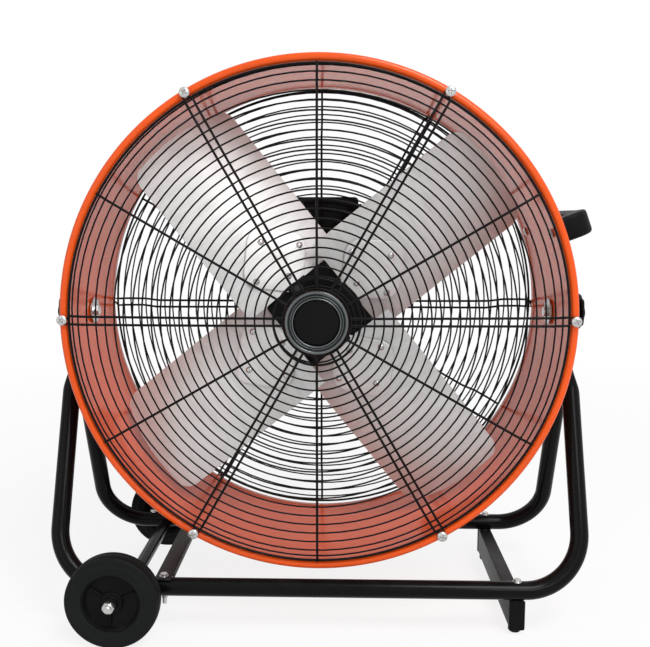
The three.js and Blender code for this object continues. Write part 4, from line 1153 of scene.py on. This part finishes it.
def build_bars():
    """The foot bar and its caps, the flat cross bar with turned edges, the stretcher and the axle studs."""
    half = half_size("foot_bar")
    outline = rounded_box(half[0], half[2], 0.0022, 6)
    bar = Surface().add(slab(outline, -half[1], half[1], 0.0004, 2), upright("foot_bar"))
    put(bar, "foot_rail", "satin", "stand", ["foot_bar"])
    for end, side in ENDS:
        node = "foot_bar_cap_" + end
        low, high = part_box(node)
        face = low[1] if side < 0 else high[1]
        half_cap = half_size(node)
        shape = rounded_box(half_cap[0], half_cap[2] + 0.0008, 0.0026, 6)
        span = (0.0, 0.0034) if side < 0 else (-0.0034, 0.0)
        cap = Surface().add(slab(shape, *span, 0.0012, 4), (at_depth(node, face), SQUARE))
        put(cap, "end_cap_" + end, "plastic", "stand", [node])
    half = half_size("cross_bar")
    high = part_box("cross_bar")[1]
    sheet = 0.0025
    across = Surface()
    top = (at_height("cross_bar", high[2] - sheet / 2), SQUARE)
    across.add(slab(rounded_box(half[0], sheet / 2, 0.001, 4), -half[1], half[1], 0.0006, 2), top)
    inner = abs(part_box("stretcher_tube")[0][1]) - 0.002
    for x in (-1, 1):
        lip = (top[0] + X * x * (half[0] - sheet / 2) - Z * 0.0035, SQUARE)
        across.add(slab(rounded_box(sheet / 2, 0.0045, 0.001, 4), -inner, inner, 0.0006, 2), lip)
    put(across, "flat_bar", "satin", "stand", ["cross_bar"])
    low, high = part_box("stretcher_tube")
    radius = half_size("stretcher_tube")[0]
    wall, soft = 0.002, 0.0005
    tube = [
        (radius - wall, low[1]), (radius - soft, low[1]), (radius, low[1] + soft),
        (radius, high[1] - soft), (radius - soft, high[1]), (radius - wall, high[1]),
    ]
    made = Surface().add(revolve(tube, 48), (at_depth("stretcher_tube", 0), SQUARE), loop=True)
    put(made, "stretcher", "black", "stand", ["stretcher_tube"])
    for end, _ in ENDS:
        node = "axle_stud_" + end
        low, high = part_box(node)
        radius = half_size(node)[0]
        soft = 0.0012
        stud = [
            (radius - soft, low[1]), (radius, low[1] + soft),
            (radius, high[1] - soft), (radius - soft, high[1]),
        ]
        made = Surface().add(revolve(stud, 40), (at_depth(node, 0), SQUARE))
        put(made, node + "_body", "zinc", "stand", [node])


def build_feet():
    """The rubber feet under the foot bar: a flared puck."""
    for end, _ in ENDS:
        node = "rubber_foot_" + end
        low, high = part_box(node)
        radius = half_size(node)[0]
        tall = high[2] - low[2]
        flare = [(0.001, 0.0), (radius * 0.80, 0.0), (radius, tall * 0.3)]
        puck = smooth_profile([*flare, (radius * 0.98, tall), (0.001, tall)], 0.0012, 4)
        made = Surface().add(revolve(puck, 64), (at_height(node, low[2]), UP))
        put(made, "foot_pad_" + end, "foot", "stand", [node])


def build_stand_bolts(s):
    """Bolts on the rails, with nuts under the cross bar's, the end nuts of the axle and one rail screw."""
    rail_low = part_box("front_loop_tube")[0][2]
    rail_top = rail_low + 2 * s.tube
    bar_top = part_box("cross_bar")[1][2]
    across = 0.0048
    for end, side in ENDS:
        for name, seat, reach in (("foot_bar_bolt_", rail_top, 0.026), ("cross_bar_bolt_", bar_top, 0.038)):
            node = name + end
            place = (at_height(node, seat + 0.0002), UP)
            made = bolt(Surface(), place, across, head=0.0034, shank=0.003, reach=reach)
            if seat == bar_top:
                under = (at_height(node, rail_low - 0.0053), UP)
                hex_head(made, under, across * 0.85, low=0.0014, high=0.005)
            put(made, node + "_body", "zinc", "stand", [node])
        node = "axle_nut_" + end
        low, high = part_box(node)
        out = side * Y
        start = abs(low[1] if side > 0 else high[1])
        place = (at_depth(node, side * start), axes_of(X, out))
        nut = hex_head(Surface(), place, across=0.0080, low=0.0, high=0.0054)
        lip = [(0.0063, 0.0048), (0.0063, 0.0060), (0.0055, 0.0067), (0.0048, 0.0067), (0.0045, 0.0048)]
        nut.add(revolve(lip, 48), place, loop=True)
        tip = [(0.0038, 0.0050), (0.0038, 0.0062), (0.0032, 0.0067), (0.001, 0.0067)]
        nut.add(revolve(tip, 40), place)
        put(nut, node + "_body", "zinc", "stand", [node])
    node = "rail_screw_rear"
    place = (at_height(node, rail_top - 0.0001), UP)
    made = pan_head(Surface(), place, radius=0.0062, height=0.0038, shank=0.0025, reach=0.009)
    put(made, node + "_body", "zinc", "stand", [node])


# ---- wheels ------------------------------------------------------------------------------------
TREAD_DEPTH = 0.0022


def tyre_profile(radius, seat, half):
    """Closed section of the tyre in (r, y): flat sides with a raised line, round shoulders and grooves."""
    y = np.linspace(-0.62, 0.62, 49) * half
    groove = TREAD_DEPTH * np.clip(-6 * np.cos(y / half * np.pi * 2.2) - 4.4, 0, 1)
    crown = radius - 0.0014 * (y / half) ** 2 - groove
    tread = np.stack([crown, y], -1)
    side = np.array([
        (seat, half - 0.001), (seat + 0.001, half), (radius * 0.74, half), (radius * 0.76, half + 0.0006),
        (radius * 0.79, half + 0.0006), (radius * 0.81, half), (radius * 0.88, half - 0.0008),
        (radius * 0.96, half * 0.94), (radius * 0.985, half * 0.82),
    ])
    return np.concatenate([tread, side[::-1], side * [1, -1]])


def build_wheels():
    """Each wheel: a tyre, and a rim with a dished face, a raised boss and radial webs."""
    for end, side in ENDS:
        tyre_node, rim_node = "tyre_" + end, "wheel_rim_" + end
        radius, half = half_size(tyre_node)[[0, 1]]
        out = side * Y
        place = (centre(tyre_node), axes_of(X, out))
        seat = half_size(rim_node)[0] - 0.0008
        ring = Surface().add(revolve(tyre_profile(radius, seat, half), 128), place, loop=True)
        put(ring, tyre_node + "_body", "tyre", "wheel_" + end, [tyre_node])
        low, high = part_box(rim_node)
        ahead = (high[1] if side > 0 else -low[1]) - abs(place[0][1])
        behind = (low[1] if side > 0 else -high[1]) - abs(place[0][1])
        boss, face, web = 0.0090, half - 0.0020, 0.0040
        rim = smooth_profile(
            [(0.0055, behind), (0.0090, behind), (0.0090, -boss), (0.0135, -boss), (0.0135, -web),
             (seat - 0.005, -web), (seat - 0.003, -face), (seat + 0.0006, -face), (seat + 0.0006, face),
             (seat - 0.0016, face), (seat - 0.004, web), (0.0145, web - 0.0005), (0.0135, boss),
             (0.0090, boss), (0.0090, ahead), (0.0055, ahead)],
            0.0009, 4,
        )
        wheel = Surface().add(revolve(rim, 96), place, loop=True)
        for k in range(3):
            out_k = polar(1, 25 + 120 * k)
            outline = rounded_box((seat - 0.017) / 2, 0.0009, 0.0007, 3)
            rib = slab(outline, web - 0.001, web + 0.0028, 0.0005, 2)
            wheel.add(rib, (place[0] + out_k * (seat + 0.008) / 2, axes_of(out_k, out)))
        put(wheel, rim_node + "_body", "rim", "wheel_" + end, [rim_node])


# ---- stage -------------------------------------------------------------------------------------
# The camera as fitted to the photograph: its focal length and picture width in pixels, its place, its tilt
# from straight down and its turn to the left in degrees, and the shift of its middle over the width.
FOCAL_PX = 820.3
IMAGE_PX = 650
CAMERA_PLACE = (0.0333, -1.1416, 0.5387)
CAMERA_TILT = 82.78
CAMERA_TURN = 1.49
CAMERA_SHIFT = (0.004, -0.0023)

# Name, place, side in metres and power in watts of each lamp. All face the drum's middle.
LAMPS = (
    ("top", (1.0, -1.7, 2.9), 1.3, 60),
    ("front", (1.15, -2.45, 1.65), 1.0, 18),
    ("fill", (-1.8, -1.9, 0.9), 1.6, 5),
)

# How bright the surround is as a source of light, and how much of its own shading the floor shows near
# the fan, out to the first distance; at the second it shows none.
SURROUND = 0.48
FLOOR_SHADING = 0.16
FADE = (0.7, 2.2)


def seen_share(tree):
    """1 for rays from the camera or by way of a mirror or a clear surface, 0 for light."""
    path = tree.nodes.new("ShaderNodeLightPath").outputs
    seen = path["Is Camera Ray"]
    for kind in ("Is Glossy Ray", "Is Transmission Ray"):
        either = tree.nodes.new("ShaderNodeMath")
        either.operation = "MAXIMUM"
        tree.links.new(seen, either.inputs[0])
        tree.links.new(path[kind], either.inputs[1])
        seen = either.outputs[0]
    return seen


def build_floor():
    """A wide pale floor. To the rays that see it, it glows as white as the backdrop, apart from a share of
    its own shading near the fan, which keeps the shadow."""
    floor = Surface()
    outline = rounded_box(9.0, 9.0, 2.0, 24)
    floor.add(slab(outline, -0.02, 0.0, 0.001, 2), (np.zeros(3), UP))
    f = Finish("studio_floor", None)
    tone = f.mix(f.ramp(f.noise(2.0, 2.0), 0.3, 0.7, 0.0, 1.0), (0.93, 0.93, 0.93), (0.95, 0.95, 0.95))
    f.set(Base_Color=tone, Roughness=0.75, Specular_IOR_Level=0.1)
    f.set(Normal=f.bump(f.noise(300.0, 2.0), 0.0001, 0.2))
    glow = f.add("ShaderNodeEmission", Color=(1, 1, 1, 1), Strength=1.0)
    away = f.add("ShaderNodeVectorMath", Vector=f.where)
    away.operation = "LENGTH"
    unshaded = f.math("SUBTRACT", 1.0, f.ramp(away.outputs["Value"], *FADE, FLOOR_SHADING, 0.0))
    blend = f.add("ShaderNodeMixShader", Fac=f.math("MULTIPLY", seen_share(f.tree), unshaded))
    f.tree.links.new(f.shader.outputs[0], blend.inputs[1])
    f.tree.links.new(glow.outputs[0], blend.inputs[2])
    f.tree.links.new(blend.outputs[0], f.tree.nodes["Material Output"].inputs["Surface"])
    mesh = floor.mesh("studio_floor")
    mesh.materials.append(f.made)
    made = bpy.data.objects.new("studio_floor", mesh)
    bpy.context.scene.collection.objects.link(made)


def build_lamp(name, place, target, size, power):
    """A square soft lamp that faces its target."""
    light = bpy.data.lights.new(name, "AREA")
    light.shape = "SQUARE"
    light.size = size
    light.energy = power
    lamp = bpy.data.objects.new(name, light)
    bpy.context.scene.collection.objects.link(lamp)
    lamp.location = place
    lamp.rotation_euler = Vector(np.array(target) - np.array(place)).to_track_quat("-Z", "Y").to_euler()


def build_world():
    """An even surround: white to the rays that see it, softer as a source of light."""
    world = bpy.data.worlds.new("studio")
    bpy.context.scene.world = world
    world.use_nodes = True
    nodes, links = world.node_tree.nodes, world.node_tree.links
    back = nodes["Background"]
    back.inputs["Color"].default_value = (1, 1, 1, 1)
    level = nodes.new("ShaderNodeMapRange")
    level.inputs["To Min"].default_value = SURROUND
    level.inputs["To Max"].default_value = 1.0
    links.new(seen_share(world.node_tree), level.inputs["Value"])
    links.new(level.outputs[0], back.inputs["Strength"])


def build_camera():
    """The camera at the place and angle from which the photograph was taken."""
    data = bpy.data.cameras.new("camera")
    data.sensor_width = 36.0
    data.lens = FOCAL_PX / IMAGE_PX * data.sensor_width
    data.shift_x, data.shift_y = CAMERA_SHIFT
    camera = bpy.data.objects.new("camera", data)
    bpy.context.scene.collection.objects.link(camera)
    camera.location = CAMERA_PLACE
    camera.rotation_euler = (math.radians(CAMERA_TILT), 0.0, math.radians(CAMERA_TURN))
    bpy.context.scene.camera = camera


# ---- operators ---------------------------------------------------------------------------------
class DRUMFAN_OT_materials(bpy.types.Operator):
    """Makes every material of the fan"""

    bl_idname = "drum_fan.materials"
    bl_label = "Materials"

    def execute(self, context):
        make_finishes(context.scene.fan_colour)
        return {"FINISHED"}


class DRUMFAN_OT_drum(bpy.types.Operator):
    """Builds the drum's wall and beads"""

    bl_idname = "drum_fan.drum"
    bl_label = "Drum"

    def execute(self, context):
        build_drum(context.scene.fan_drum)
        return {"FINISHED"}


class DRUMFAN_OT_guards(bpy.types.Operator):
    """Builds both wire guards and their screws"""

    bl_idname = "drum_fan.guards"
    bl_label = "Guards"

    def execute(self, context):
        build_guard(True, context.scene.fan_guard)
        build_guard(False, context.scene.fan_guard)
        build_guard_screws(context.scene.fan_guard)
        return {"FINISHED"}


class DRUMFAN_OT_badge(bpy.types.Operator):
    """Builds the ring and the bare disc in the middle of the front guard"""

    bl_idname = "drum_fan.badge"
    bl_label = "Badge"

    def execute(self, context):
        build_badge()
        return {"FINISHED"}


class DRUMFAN_OT_blades(bpy.types.Operator):
    """Builds the four paddles"""

    bl_idname = "drum_fan.blades"
    bl_label = "Blades"

    def execute(self, context):
        build_blades(context.scene.fan_rotor)
        return {"FINISHED"}


class DRUMFAN_OT_hub(bpy.types.Operator):
    """Builds the pads, rivets, hub plate and shaft"""

    bl_idname = "drum_fan.hub"
    bl_label = "Hub"

    def execute(self, context):
        build_pads(context.scene.fan_rotor)
        build_hub(context.scene.fan_rotor)
        return {"FINISHED"}


class DRUMFAN_OT_motor(bpy.types.Operator):
    """Builds the motor and its mount plate"""

    bl_idname = "drum_fan.motor"
    bl_label = "Motor"

    def execute(self, context):
        build_motor()
        return {"FINISHED"}


class DRUMFAN_OT_controls(bpy.types.Operator):
    """Builds the control box and the speed knob"""

    bl_idname = "drum_fan.controls"
    bl_label = "Controls"

    def execute(self, context):
        build_box()
        build_speed_knob()
        return {"FINISHED"}


class DRUMFAN_OT_handle(bpy.types.Operator):
    """Builds the carrying handle and its screws"""

    bl_idname = "drum_fan.handle"
    bl_label = "Handle"

    def execute(self, context):
        build_handle(context.scene.fan_drum.bore)
        return {"FINISHED"}


class DRUMFAN_OT_pivots(bpy.types.Operator):
    """Builds the pivots and the tilt knobs"""

    bl_idname = "drum_fan.pivots"
    bl_label = "Pivots"

    def execute(self, context):
        build_pivots(context.scene.fan_drum.bore)
        build_tilt_knobs()
        return {"FINISHED"}


class DRUMFAN_OT_tubes(bpy.types.Operator):
    """Builds the two bent tubes"""

    bl_idname = "drum_fan.tubes"
    bl_label = "Tubes"

    def execute(self, context):
        build_loop(-1, context.scene.fan_stand)
        build_loop(1, context.scene.fan_stand)
        return {"FINISHED"}


class DRUMFAN_OT_bars(bpy.types.Operator):
    """Builds the bars between the rails, the feet and the bolts"""

    bl_idname = "drum_fan.bars"
    bl_label = "Bars and Feet"

    def execute(self, context):
        build_bars()
        build_feet()
        build_stand_bolts(context.scene.fan_stand)
        return {"FINISHED"}


class DRUMFAN_OT_wheels(bpy.types.Operator):
    """Builds the tyres and rims"""

    bl_idname = "drum_fan.wheels"
    bl_label = "Wheels"

    def execute(self, context):
        build_wheels()
        return {"FINISHED"}


class DRUMFAN_OT_stage(bpy.types.Operator):
    """Builds the floor, the lamps, the surround and the camera"""

    bl_idname = "drum_fan.stage"
    bl_label = "Stage"

    def execute(self, context):
        build_floor()
        build_world()
        for name, place, size, power in LAMPS:
            build_lamp(name, place, AXIS, size, power)
        build_camera()
        context.scene.view_settings.view_transform = "Standard"
        return {"FINISHED"}


STEPS = (
    DRUMFAN_OT_materials,
    DRUMFAN_OT_drum,
    DRUMFAN_OT_guards,
    DRUMFAN_OT_badge,
    DRUMFAN_OT_blades,
    DRUMFAN_OT_hub,
    DRUMFAN_OT_motor,
    DRUMFAN_OT_controls,
    DRUMFAN_OT_handle,
    DRUMFAN_OT_pivots,
    DRUMFAN_OT_tubes,
    DRUMFAN_OT_bars,
    DRUMFAN_OT_wheels,
    DRUMFAN_OT_stage,
)


class DRUMFAN_PT_panel(bpy.types.Panel):
    """Buttons for each group of pieces."""

    bl_label = "Drum Fan"
    bl_idname = "DRUMFAN_PT_panel"
    bl_space_type = "VIEW_3D"
    bl_region_type = "UI"
    bl_category = "Drum Fan"

    def draw(self, context):
        for made in STEPS:
            self.layout.operator(made.bl_idname)


# Where each group of settings hangs on the scene.
HOLDERS = {
    "fan_colour": ColourSettings,
    "fan_drum": DrumSettings,
    "fan_guard": GuardSettings,
    "fan_rotor": RotorSettings,
    "fan_stand": StandSettings,
}


CLASSES = (*HOLDERS.values(), *STEPS, DRUMFAN_PT_panel)


def register():
    """Registers the classes and the scene's settings."""
    for made in CLASSES:
        bpy.utils.register_class(made)
    for name, settings in HOLDERS.items():
        setattr(bpy.types.Scene, name, PointerProperty(type=settings))


def unregister():
    """Takes the settings and the classes away again."""
    for name in HOLDERS:
        delattr(bpy.types.Scene, name)
    for made in reversed(CLASSES):
        bpy.utils.unregister_class(made)


def main():
    """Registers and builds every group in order."""
    register()
    for made in STEPS:
        group, name = made.bl_idname.split(".")
        getattr(getattr(bpy.ops, group), name)()


if __name__ == "__main__":
    main()
